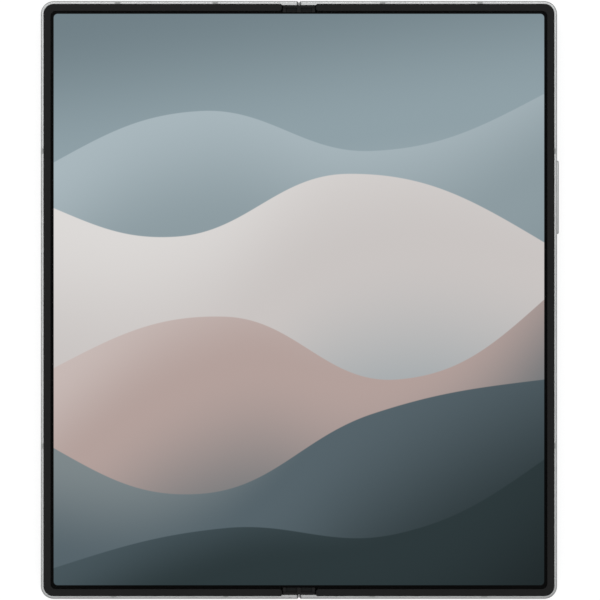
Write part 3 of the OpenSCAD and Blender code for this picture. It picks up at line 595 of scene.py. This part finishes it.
class LensSettings(bpy.types.PropertyGroup):
    """Sizes of the lenses"""

    mask: FloatProperty(
        name="Mask", description="Inner radius of the black mask behind the windows", default=0.0038,
        unit="LENGTH", precision=4)
    glass: FloatProperty(
        name="Front lens", description="Radius of the front lens", default=0.0026, unit="LENGTH",
        precision=4)
    rings: IntProperty(
        name="Flash rings", description="Ridges in the flash lens", default=7, min=3, max=12)


class StageSettings(bpy.types.PropertyGroup):
    """Camera, light and floor"""

    lens: FloatProperty(
        name="Lens", description="Focal length in millimetres", default=250.0, min=50, max=400)
    view_width: FloatProperty(
        name="View width", description="Width of the view at the screen", default=0.15402, unit="LENGTH",
        precision=5)
    view_x: FloatProperty(
        name="View offset", description="How far the camera stands to the right", default=0.00027,
        unit="LENGTH", precision=5)
    sky: FloatProperty(name="Sky", description="Strength of the even light", default=0.85, min=0, max=2)
    key: FloatProperty(
        name="Key light", description="Power of the light from the top left", default=0.9, min=0, max=20,
        unit="POWER")
    fill: FloatProperty(
        name="Fill light", description="Power of the light from the lower right", default=0.4, min=0,
        max=20, unit="POWER")


class PhoneSettings(bpy.types.PropertyGroup):
    """All settings of the folding phone"""

    screen: PointerProperty(type=ScreenSettings)
    finish: PointerProperty(type=FinishSettings)
    lenses: PointerProperty(type=LensSettings)
    stage: PointerProperty(type=StageSettings)


# Operators, each before the functions that only it calls


class PHONE_OT_rails(bpy.types.Operator):
    """Finish the metal rails, keys, tray, spine and camera island"""

    bl_idname = "phone.rails"
    bl_label = "Rails and keys"

    def execute(self, context):
        look = context.scene.folding_phone.finish
        rail = blasted_anodised_aluminium("blasted_anodised_aluminium", look.rail, look.rail_roughness)
        dress(rail, "main_frame", "cover_frame", "sim_tray", "power_key", "spine_cover", "end_caps")
        volume_key(rail, look.key_round)
        camera_island(rail, look.island_round)
        dress(turned_steel("turned_ring_steel", look.ring, roughness=0.18), "camera_rings")
        soften(look.island_round, "camera_rings")
        dress(blasted_anodised_aluminium("satin_sensor_coating", shade(look.rail, 0.92), roughness=0.34),
              "fingerprint_sensor")
        return {"FINISHED"}


def volume_key(rail, rounding):
    """The rocking key: a rounded bar, two nibs that press the switches and the rib it rocks on."""
    low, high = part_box("volume_key")
    corner, nib, nib_height, nib_place, stand_off = 0.5 * MM, 0.6 * MM, 0.3 * MM, 6 * MM, 0.25 * MM
    # the nibs end just off the switches, and the rib reaches the key's lowest X
    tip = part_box("key_flex")[1].x + stand_off
    foot = tip + nib_height
    rib = foot - low.x
    y, z = (low.y + high.y) / 2, (low.z + high.z) / 2
    half_y, half_z = (high.y - low.y) / 2 - corner, (high.z - low.z) / 2 - corner
    sides = ((1, 1), (-1, 1), (-1, -1), (1, -1))
    turns = [(sides[i], math.radians(i * 90 + j * 11.25)) for i in range(4) for j in range(9)]
    levels = [(foot, 0)] + [(high.x - step, inset) for step, inset in rounded(rounding)]
    made = bmesh.new()
    bar = [[made.verts.new((x, y + side[0] * half_y + (corner - inset) * math.cos(a),
                            z + side[1] * half_z + (corner - inset) * math.sin(a))) for side, a in turns]
           for x, inset in levels]
    nibs = [[[made.verts.new((x, y + place + nib * math.cos(a), z + nib * math.sin(a)))
              for a in (i * math.pi / 18 for i in range(36))] for x in (tip, foot + 0.1 * MM)]
            for place in (-nib_place, nib_place)]
    axle = [circle(made, foot, y, rib, level, 36) for level in (low.z, high.z)]
    for rings in (bar, *nibs, axle):
        skin(made, rings)
    piece = piece_from(made, "rounded_volume_key", rail, smooth=True)
    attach(piece, "volume_key")
    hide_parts("volume_key")


def camera_island(rail, rounding):
    """The raised island with a rounded rim, its neck through the back glass and its three holes."""
    low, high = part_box("camera_island")
    ring_low, ring_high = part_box("camera_rings")
    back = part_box("rear_glass")[0].z
    middle = middle_of(low, high)
    reach, straight = (high.x - low.x) / 2, (high.y - low.y - high.x + low.x) / 2
    hole = (ring_high.x - ring_low.x) / 2
    pitch = (ring_high.y - ring_low.y) / 2 - hole
    neck = 0.55 * MM
    profile = [(inset, low.z + step) for inset, step in rounded(rounding)]
    profile += [(0, back), (neck, back), (neck, high.z)]
    turns = [(sign * straight, start + i * math.pi / 32) for sign, start in ((1, 0), (-1, math.pi))
             for i in range(33)]
    made = bmesh.new()
    walls = [[made.verts.new((middle.x + (reach - inset) * math.cos(a),
                              middle.y + shift + (reach - inset) * math.sin(a), z)) for shift, a in turns]
             for inset, z in profile]
    holes = [[circle(made, middle.x, middle.y + i * pitch, hole, z, 64) for z in (low.z, high.z)]
             for i in (-1, 0, 1)]
    for rings in (walls, *holes):
        skin(made, rings, closed=False)
    fill(made, walls[0], *(pair[0] for pair in holes))
    fill(made, walls[-1], *(pair[1] for pair in holes))
    piece = piece_from(made, "rounded_camera_island", rail, smooth=True)
    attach(piece, "main_half")
    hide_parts("camera_island")


class PHONE_OT_plastics(bpy.types.Operator):
    """Finish the bezels, antenna breaks, end guards and rubber flaps"""

    bl_idname = "phone.plastics"
    bl_label = "Bezels, breaks and guards"

    def execute(self, context):
        look = context.scene.folding_phone.finish
        plastic = moulded_matt_plastic
        dress(plastic("moulded_bezel_plastic", look.bezel, roughness=0.55, specular=0.1),
              "main_bezel", "cover_bezel")
        dress(plastic("moulded_guard_plastic", shade(look.bezel, 1.3), roughness=0.6, specular=0.1),
              "end_guards")
        dress(plastic("moulded_break_plastic", look.breaks, roughness=0.5, specular=0.4),
              "main_antenna_breaks", "cover_antenna_breaks")
        rubber = soft_rubber("flap_silicone_rubber", look.flaps)
        dress(rubber, "guard_flaps")
        # the dark seal strips are partly a real rubber seal and partly painted shade in the slots beside
        # the guards
        seals_and_slot_shade(rubber)
        return {"FINISHED"}


def seals_and_slot_shade(rubber):
    """Stepped rubber seal strips beside the guards, which close the slots down to the spine; being dark,
    they also stand in as painted shade in those slots.
    """
    low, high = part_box("end_guards")
    inner, outer = 73.85 * MM, high.y - 0.1 * MM
    foot = low.z - 0.05 * MM
    # millimetres across from the guards' side and up, round the ledge and the lip
    lip = ((-0.2, 5.45), (0.95, 5.45), (0.95, 5.64), (0.85, 5.7), (0.25, 5.74), (0.25, 6.12),
           (0.19, 6.18), (-0.02, 6.18))
    section = [(across * MM, z * MM) for across, z in lip] + [(-0.02 * MM, foot), (-0.2 * MM, foot)]
    made = bmesh.new()
    for side in (-1, 1):
        for end in (-1, 1):
            skin(made, [[made.verts.new((side * (high.x + across), end * y, z)) for across, z in section]
                        for y in (inner, outer)])
    # dark rubber strips: a seal, and painted shade in the slots
    piece = piece_from(made, "hinge_seal_and_shade_strips", rubber)
    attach(piece, "spine")


class PHONE_OT_screen(bpy.types.Operator):
    """Build the folding screen in two halves, cut into strips over the hinge"""

    bl_idname = "phone.screen"
    bl_label = "Folding screen"

    def execute(self, context):
        sizes = context.scene.folding_phone.screen
        material = lit_folding_screen("lit_folding_screen", sizes)
        for side, body, flat, name in ((1, "main_half", "main_screen", "folding_screen_right"),
                                       (-1, "cover_half", "cover_screen", "folding_screen_left")):
            low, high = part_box(flat)
            reach = max(abs(low.x), abs(high.x))
            half = screen_half(side, reach, high.y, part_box("bend_screen")[1].y, low.z, high.z, sizes)
            piece = piece_from(half, name, material)
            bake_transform(piece)
            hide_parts(flat, *(["bend_screen"] if side > 0 else []))
        return {"FINISHED"}


def screen_half(side, reach, top, bend_top, z_low, z_high, sizes):
    """Half of the screen as one slab, cut into strips where it bends."""
    corner, notch, crease_width = 1.3 * MM, 4.7 * MM, 2.2 * MM
    outline = [(0, -bend_top), (notch, -bend_top), (notch, -top)]
    for sign, start in ((-1, -90), (1, 0)):
        for step in range(9):
            angle = math.radians(start + step * 90 / 8)
            outline.append((reach - corner + corner * math.cos(angle),
                            sign * (top - corner) + corner * math.sin(angle)))
    outline += [(notch, top), (notch, bend_top), (0, bend_top)]
    made = bmesh.new()
    face = made.faces.new([made.verts.new((side * x, y, z_low)) for x, y in outline])
    raised = bmesh.ops.extrude_face_region(made, geom=[face])
    for vert in [g for g in raised["geom"] if isinstance(g, bmesh.types.BMVert)]:
        vert.co.z = z_high
    cuts = [0.3 * MM * i for i in range(1, 31)] + [12 * MM, 20 * MM, 35 * MM, 50 * MM]
    for x in cuts:
        bmesh.ops.bisect_plane(made, geom=made.verts[:] + made.edges[:] + made.faces[:], dist=1e-7,
                               plane_co=(side * x, 0, 0), plane_no=(1, 0, 0))
    layer = made.loops.layers.uv.new("Panel")
    for face in made.faces:
        for loop in face.loops:
            x, y, _ = loop.vert.co
            loop[layer].uv = (x / sizes.lit_width + 0.5, (y - sizes.lit_rise) / sizes.lit_height + 0.5)
    for vert in made.verts:
        vert.co.z -= sizes.crease * math.exp(-((vert.co.x / crease_width) ** 2))
    return made


class PHONE_OT_flex(bpy.types.Operator):
    """Build the flexible boards that cross the hinge, and finish the one behind the keys"""

    bl_idname = "phone.flex"
    bl_label = "Hinge flex boards"

    def execute(self, context):
        material = polyimide_flex("polyimide_flex", linear("#B9822B"))
        low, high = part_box("hinge_flex_cables")
        width = 12 * MM
        for side, body, name in ((1, "main_half", "hinge_flex_right"),
                                 (-1, "cover_half", "hinge_flex_left")):
            made = bmesh.new()
            for middle in (low.y + width / 2, high.y - width / 2):
                strip(made, side * high.x, middle, width / 2, low.z, high.z)
            piece = piece_from(made, name, material)
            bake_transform(piece)
            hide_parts(*(["hinge_flex_cables"] if side > 0 else []))
        dress(material, "key_flex")
        return {"FINISHED"}


def strip(made, reach, middle, half, z_low, z_high):
    """A thin board from the middle of the hinge outwards, cut across where it bends."""
    cuts = 34
    section = ((-half, z_low), (half, z_low), (half, z_high), (-half, z_high))
    skin(made, [[made.verts.new((reach * i / cuts, middle + y, z)) for y, z in section]
                for i in range(cuts + 1)])


class PHONE_OT_cameras(bpy.types.Operator):
    """Build the lens barrels, the front lenses and the flash lens"""

    bl_idname = "phone.cameras"
    bl_label = "Cameras and flash"

    def execute(self, context):
        sizes = context.scene.folding_phone.lenses
        black = moulded_matt_plastic(
            "anodised_black_barrel", linear("#070708"), roughness=0.5, specular=0.12)
        dress(clear_polished_glass("polished_window_glass"), "camera_windows")
        low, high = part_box("camera_windows")
        module_low, module_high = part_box("camera_modules")
        middle = middle_of(low, high)
        reach = (high.x - low.x) / 2
        pitch = (high.y - low.y) / 2 - reach
        made, front = bmesh.new(), bmesh.new()
        for i in (-1, 0, 1):
            centre = middle + Vector((0, i * pitch, 0))
            barrel(made, centre, reach, high.z, module_low, module_high, sizes)
            dome(front, centre, sizes.glass, high.z + 0.62 * MM, rise=0.32 * MM)
        barrels = piece_from(made, "lens_barrels", black)
        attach(barrels, "main_half")
        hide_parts("camera_modules")
        coated = coated_lens_glass("coated_lens_glass", linear("#0A0D16"), film=118.0)
        lenses = piece_from(front, "front_lenses", coated, smooth=True)
        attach(lenses, "main_half")
        flash(sizes)
        cover_camera(black)
        return {"FINISHED"}


def barrel(made, centre, reach, window, low, high, sizes):
    """A square module with its stepped black barrel and the mask behind the window."""
    rim, mask, glass = reach - 0.06 * MM, sizes.mask, sizes.glass
    wall = reach - 0.8 * MM
    z = window + 0.02 * MM
    # each corner's radius, and its height over the mask in millimetres
    corners = [(rim, 0), (mask, 0), (mask - 0.1 * MM, 0.12), (mask - 0.35 * MM, 0.12),
               (mask - 0.45 * MM, 0.3), (mask - 0.7 * MM, 0.3), (glass + 0.35 * MM, 0.48),
               (glass + 0.1 * MM, 0.48), (glass + 0.05 * MM, 0.62), (0, 0.62), (0, 1.2),
               (wall, 1.2), (wall, 0.35), (rim, 0.3)]
    lathe(made, centre, [(radius, z + height * MM) for radius, height in corners])
    side, edge = (high.x - low.x) / 2, 0.15 * MM
    base = window + 1.4 * MM
    square = ((-1, -1), (1, -1), (1, 1), (-1, 1))
    skin(made, [[made.verts.new((centre.x + x * (side - inset), centre.y + y * (side - inset), level))
                 for x, y in square] for level, inset in ((base, edge), (base + edge, 0), (high.z, 0))])


def flash(sizes):
    """The flash lens, with rings that spread its light."""
    low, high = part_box("flash_lens")
    radius = (high.x - low.x) / 2
    rim, core, groove = 0.25 * MM, 0.1 * MM, 0.12 * MM
    step = (radius - rim - core) / sizes.rings
    profile = [(radius, high.z), (radius, low.z)]
    for i in range(sizes.rings):
        r = radius - rim - i * step
        profile += [(r, low.z), (r - 0.7 * step, low.z + groove)]
    profile += [(core, low.z), (0, low.z), (0, high.z)]
    made = bmesh.new()
    lathe(made, middle_of(low, high), profile)
    piece = piece_from(made, "flash_ring_lens", ridged_flash_plastic("moulded_flash_lens"))
    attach(piece, "main_half")
    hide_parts("flash_lens")


def cover_camera(black):
    """The camera under the cover glass: a black ring with a small lens."""
    low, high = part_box("cover_camera")
    centre = middle_of(low, high)
    rim, z, floor_z = 1.85 * MM, low.z + 0.02 * MM, low.z + 0.22 * MM
    made, front = bmesh.new(), bmesh.new()
    lathe(made, centre, [
        (rim, z), (1.35 * MM, z), (1.2 * MM, floor_z), (0, floor_z), (0, high.z), (rim, high.z)])
    dome(front, centre, 1.1 * MM, floor_z + 0.02 * MM, rise=0.16 * MM)
    ring = piece_from(made, "cover_camera_barrel", black)
    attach(ring, "cover_half")
    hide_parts("cover_camera")
    coated = coated_lens_glass("coated_small_lens_glass", linear("#0B0A14"), film=110.0)
    lens = piece_from(front, "cover_camera_lens", coated, smooth=True)
    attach(lens, "cover_half")


class PHONE_OT_glass(bpy.types.Operator):
    """Finish the back glass and the display, and build the cover glass over it"""

    bl_idname = "phone.glass"
    bl_label = "Back and cover glass"

    def execute(self, context):
        look = context.scene.folding_phone.finish
        dress(etched_back_glass("etched_back_glass", look.back), "rear_glass")
        panel = moulded_matt_plastic(
            "laminated_display_panel", linear("#0B0D11"), roughness=0.3, specular=0.3)
        dress(panel, "cover_display")
        cover_sheet()
        return {"FINISHED"}


def cover_sheet():
    """The cover glass over its dark display, with a clear round window for the camera."""
    low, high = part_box("cover_glass")
    eye = middle_of(*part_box("cover_camera"))
    radius, corner, edge = 1.85 * MM, 2.35 * MM, 0.12 * MM
    outline = [(high.x, -high.y), (high.x, high.y)]
    for turn, sign in ((90, 1), (180, -1)):
        for step in range(13):
            angle = math.radians(turn + step * 7.5)
            outline.append((low.x + corner + corner * math.cos(angle),
                            sign * (high.y - corner) + corner * math.sin(angle)))
    middle, half = (low.x + high.x) / 2, (high.x - low.x) / 2
    levels = ((0, high.z), (0, low.z + edge), (edge * 0.3, low.z + edge * 0.3), (edge, low.z))
    made = bmesh.new()
    rings = [[made.verts.new((middle + (x - middle) * (1 - inset / half), y * (1 - inset / high.y), z))
              for x, y in outline] for inset, z in levels]
    hole = [circle(made, eye.x, eye.y, radius, z, 48) for z in (high.z, low.z)]
    skin(made, rings, closed=False)
    skin(made, hole, closed=False)
    fill(made, rings[0], hole[0])
    fill(made, rings[-1], hole[1])
    sheet = piece_from(made, "cover_glass_sheet", printed_cover_glass("printed_cover_glass", low, high))
    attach(sheet, "cover_half")
    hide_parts("cover_glass")
    disc = bmesh.new()
    pane = radius - 0.01 * MM
    lathe(disc, eye, [(0, low.z), (pane, low.z), (pane, high.z), (0, high.z)])
    window = piece_from(disc, "cover_camera_window", clear_polished_glass("polished_small_window"))
    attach(window, "cover_half")


class PHONE_OT_inside(bpy.types.Operator):
    """Finish the pieces inside: boards, batteries, hinge and fasteners"""

    bl_idname = "phone.inside"
    bl_label = "Inner pieces"

    def execute(self, context):
        sheet, plastic = rolled_sheet_metal, moulded_matt_plastic
        dress(solder_mask_laminate("solder_mask_laminate", linear("#1E4A3C")),
              "main_board", "cover_board")
        dress(sheet("pressed_nickel_silver", linear("#B4B5B2"), roughness=0.3),
              "board_shields", "haptic_motor")
        dress(sheet("pressed_socket_steel", linear("#A6A8AA"), roughness=0.28), "usb_socket")
        dress(sheet("rolled_copper", linear("#C98A63"), roughness=0.32),
              "vapour_chamber", "charging_coil")
        dress(sheet("machined_screw_steel", linear("#8E8F92"), roughness=0.3), "main_screws",
              "bracket_screws_main", "spine_screws", "cover_screws", "bracket_screws_cover")
        dress(blasted_anodised_aluminium("sintered_hinge_steel", linear("#9A9DA0"), roughness=0.38),
              "main_hinge_brackets", "cover_hinge_brackets", "hinge_blocks", "main_wing", "cover_wing",
              "detent_springs")
        dress(turned_steel("nickel_plated_magnet", linear("#C9C9C7"), roughness=0.15),
              "main_magnets", "cover_magnets")
        dress(wrapped_battery_foil("wrapped_battery_foil", linear("#4A4C4F")),
              "main_battery", "cover_battery")
        dress(plastic("moulded_black_plastic", linear("#141414"), roughness=0.5, specular=0.4),
              "bottom_speaker", "earpiece_speaker", "under_screen_camera")
        dress(woven_steel_mesh("woven_steel_mesh", linear("#4A4B4C")),
              "main_speaker_mesh", "cover_speaker_mesh")
        dress(plastic("carbon_fibre_plate", linear("#1A1B1C"), roughness=0.4, specular=0.5),
              "main_fibre_plate", "cover_fibre_plate")
        dress(plastic("coated_pen_film", linear("#6B4A1E"), roughness=0.45, specular=0.5),
              "main_pen_film", "cover_pen_film")
        contacts()
        return {"FINISHED"}


def contacts():
    """The gilt contacts on both faces of the charging socket's tongue."""
    low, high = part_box("usb_socket")
    x, z = (low.x + high.x) / 2, (low.z + high.z) / 2
    count, pitch, half, tongue, top = 12, 0.5 * MM, 0.13 * MM, 0.35 * MM, 0.38 * MM
    front, back = low.y + 1.45 * MM, low.y + 5.0 * MM
    made = bmesh.new()
    for face in (-1, 1):
        for i in range(count):
            cx = x + (i - (count - 1) / 2) * pitch
            outline = [(cx - half, front), (cx + half, front), (cx + half, back), (cx - half, back)]
            skin(made, [[made.verts.new((px, py, z + face * level)) for px, py in outline]
                        for level in (tongue, top)])
    gilt = rolled_sheet_metal("gilt_contact", linear("#D9B25E"), roughness=0.2)
    piece = piece_from(made, "socket_contacts", gilt)
    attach(piece, "main_half")


class PHONE_OT_stage(bpy.types.Operator):
    """Lay the floor, set the lights and the world, and place the camera"""

    bl_idname = "phone.stage"
    bl_label = "Stage"

    def execute(self, context):
        stage = context.scene.folding_phone.stage
        floor()
        world(stage.sky)
        lamp("key_light", (-0.25, 0.75, 0.75), size=0.6, power=stage.key)
        lamp("fill_light", (0.6, -0.35, 0.8), size=0.7, power=stage.fill)
        camera(stage)
        context.scene.view_settings.view_transform = "Standard"
        return {"FINISHED"}


def floor():
    """A wide white floor, which keeps the phone's shadow and is clear from below."""
    made = bmesh.new()
    rings = [circle(made, 0, 0, radius, 0, 48) for radius in (0.5, 6.0)]
    made.faces.new(rings[0])
    skin(made, rings, closed=False)
    material = bpy.data.materials.new("white_studio_floor")
    tree = blank_tree(material)
    # the card alone is grey under the studio light; a glow that is only seen straight, mirrored or
    # through glass lifts it to white, and adds no light to the phone
    card_grey, glow = 0.45, 0.69
    ray = put(tree, "ShaderNodeLightPath").outputs
    seen = number(tree, "MAXIMUM", ray["Is Camera Ray"], ray["Is Glossy Ray"])
    seen = number(tree, "MAXIMUM", seen, ray["Is Transmission Ray"])
    card = put(tree, "ShaderNodeBsdfDiffuse", {"Color": (card_grey, card_grey, card_grey, 1)})
    white = put(tree, "ShaderNodeEmission",
                {"Color": (1, 1, 1, 1), "Strength": number(tree, "MULTIPLY", seen, glow)})
    both = put(tree, "ShaderNodeAddShader", {0: card.outputs[0], 1: white.outputs[0]})
    under = put(tree, "ShaderNodeNewGeometry").outputs["Backfacing"]
    clear = put(tree, "ShaderNodeBsdfTransparent")
    mix = put(tree, "ShaderNodeMixShader", {0: under, 1: both.outputs[0], 2: clear.outputs[0]})
    put(tree, "ShaderNodeOutputMaterial", {"Surface": mix.outputs[0]})
    mesh = bpy.data.meshes.new("studio_floor")
    made.normal_update()
    made.to_mesh(mesh)
    made.free()
    mesh.materials.append(material)
    piece = placed("studio_floor", mesh)


def world(strength):
    """A white room with a darker band above its horizon, a bright ceiling, and a gap in that ceiling.

    The band draws a dark line along the round edges of metal, and the gap straight overhead keeps glare
    off the flat screen. Straight behind the object and through glass the room is plain white.
    """
    made = bpy.data.worlds.new("studio_room")
    bpy.context.scene.world = made
    tree = blank_tree(made)
    way = put(tree, "ShaderNodeTexCoord").outputs["Generated"]
    parts = put(tree, "ShaderNodeSeparateXYZ", {0: way}).outputs
    # the ceiling is brightest towards the top of the phone and a little brighter to its left
    level = ramp(tree, parts["Y"], -0.25, 0.25, 1.6, 5.3, "SMOOTHSTEP")
    level = number(tree, "MULTIPLY_ADD", parts["X"], -1.07, level)
    level = ramp(tree, parts["Z"], 0.7, 0.9, 1.0, level, "SMOOTHSTEP")
    band, gap = (0.02, 0.2, 1.0, 0.6), (0.985, 0.9955, 1.0, 0.01)
    for step in (band, gap):
        level = number(tree, "MULTIPLY", level, ramp(tree, parts["Z"], *step, "SMOOTHSTEP"))
    ray = put(tree, "ShaderNodeLightPath").outputs
    lit = put(tree, "ShaderNodeMix",
              {"Factor": ray["Is Glossy Ray"], "A": strength, "B": level}).outputs[0]
    plain = number(tree, "MAXIMUM", ray["Is Camera Ray"], ray["Is Transmission Ray"])
    seen = put(tree, "ShaderNodeMix", {"Factor": plain, "A": lit, "B": 1.0}).outputs[0]
    light = put(tree, "ShaderNodeBackground", {"Color": (1, 1, 1, 1), "Strength": seen})
    put(tree, "ShaderNodeOutputWorld", {"Surface": light.outputs[0]})


def lamp(name, place, size, power):
    """A square soft light that points at the phone and isn't mirrored in it."""
    data = bpy.data.lights.new(name, "AREA")
    data.shape = "SQUARE"
    data.size = size
    data.energy = power
    made = placed(name, data)
    made.location = place
    made.rotation_euler = (-Vector(place)).to_track_quat("-Z", "Y").to_euler()
    made.visible_glossy = made.visible_transmission = False


def camera(stage):
    """A long lens straight above the screen, with the top of the phone up."""
    data = bpy.data.cameras.new("camera")
    data.lens = stage.lens
    data.sensor_width = 36.0
    data.clip_start, data.clip_end = 0.01, 20.0
    made = placed("camera", data)
    screen_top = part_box("main_screen")[1].z
    made.location = (stage.view_x, 0, screen_top + stage.view_width * stage.lens / data.sensor_width)
    bpy.context.scene.camera = made


# Panel and registration


class PHONE_PT_panel(bpy.types.Panel):
    """Lists the steps that dress the phone"""

    bl_idname = "PHONE_PT_panel"
    bl_label = "Folding phone"
    bl_space_type = "VIEW_3D"
    bl_region_type = "UI"
    bl_category = "Folding phone"

    def draw(self, context):
        phone = context.scene.folding_phone
        for group in (phone.screen, phone.finish, phone.lenses, phone.stage):
            box = self.layout.box()
            box.label(text=group.bl_rna.description)
            for name in group.__annotations__:
                box.prop(group, name)
        for step in STEPS:
            self.layout.operator(step.bl_idname)


STEPS = (PHONE_OT_rails, PHONE_OT_plastics, PHONE_OT_screen, PHONE_OT_flex, PHONE_OT_cameras,
         PHONE_OT_glass, PHONE_OT_inside, PHONE_OT_stage)
GROUPS = (ScreenSettings, FinishSettings, LensSettings, StageSettings, PhoneSettings)
CLASSES = GROUPS + STEPS + (PHONE_PT_panel,)


def register():
    """Registers the classes and puts the settings on the scene."""
    for made in CLASSES:
        bpy.utils.register_class(made)
    bpy.types.Scene.folding_phone = PointerProperty(type=PhoneSettings)


def unregister():
    """Takes the settings and the classes away again."""
    del bpy.types.Scene.folding_phone
    for made in reversed(CLASSES):
        bpy.utils.unregister_class(made)


def main():
    """Runs every step in order."""
    register()
    bpy.ops.phone.rails()
    bpy.ops.phone.plastics()
    bpy.ops.phone.screen()
    bpy.ops.phone.flex()
    bpy.ops.phone.cameras()
    bpy.ops.phone.glass()
    bpy.ops.phone.inside()
    bpy.ops.phone.stage()


if __name__ == "__main__":
    main()
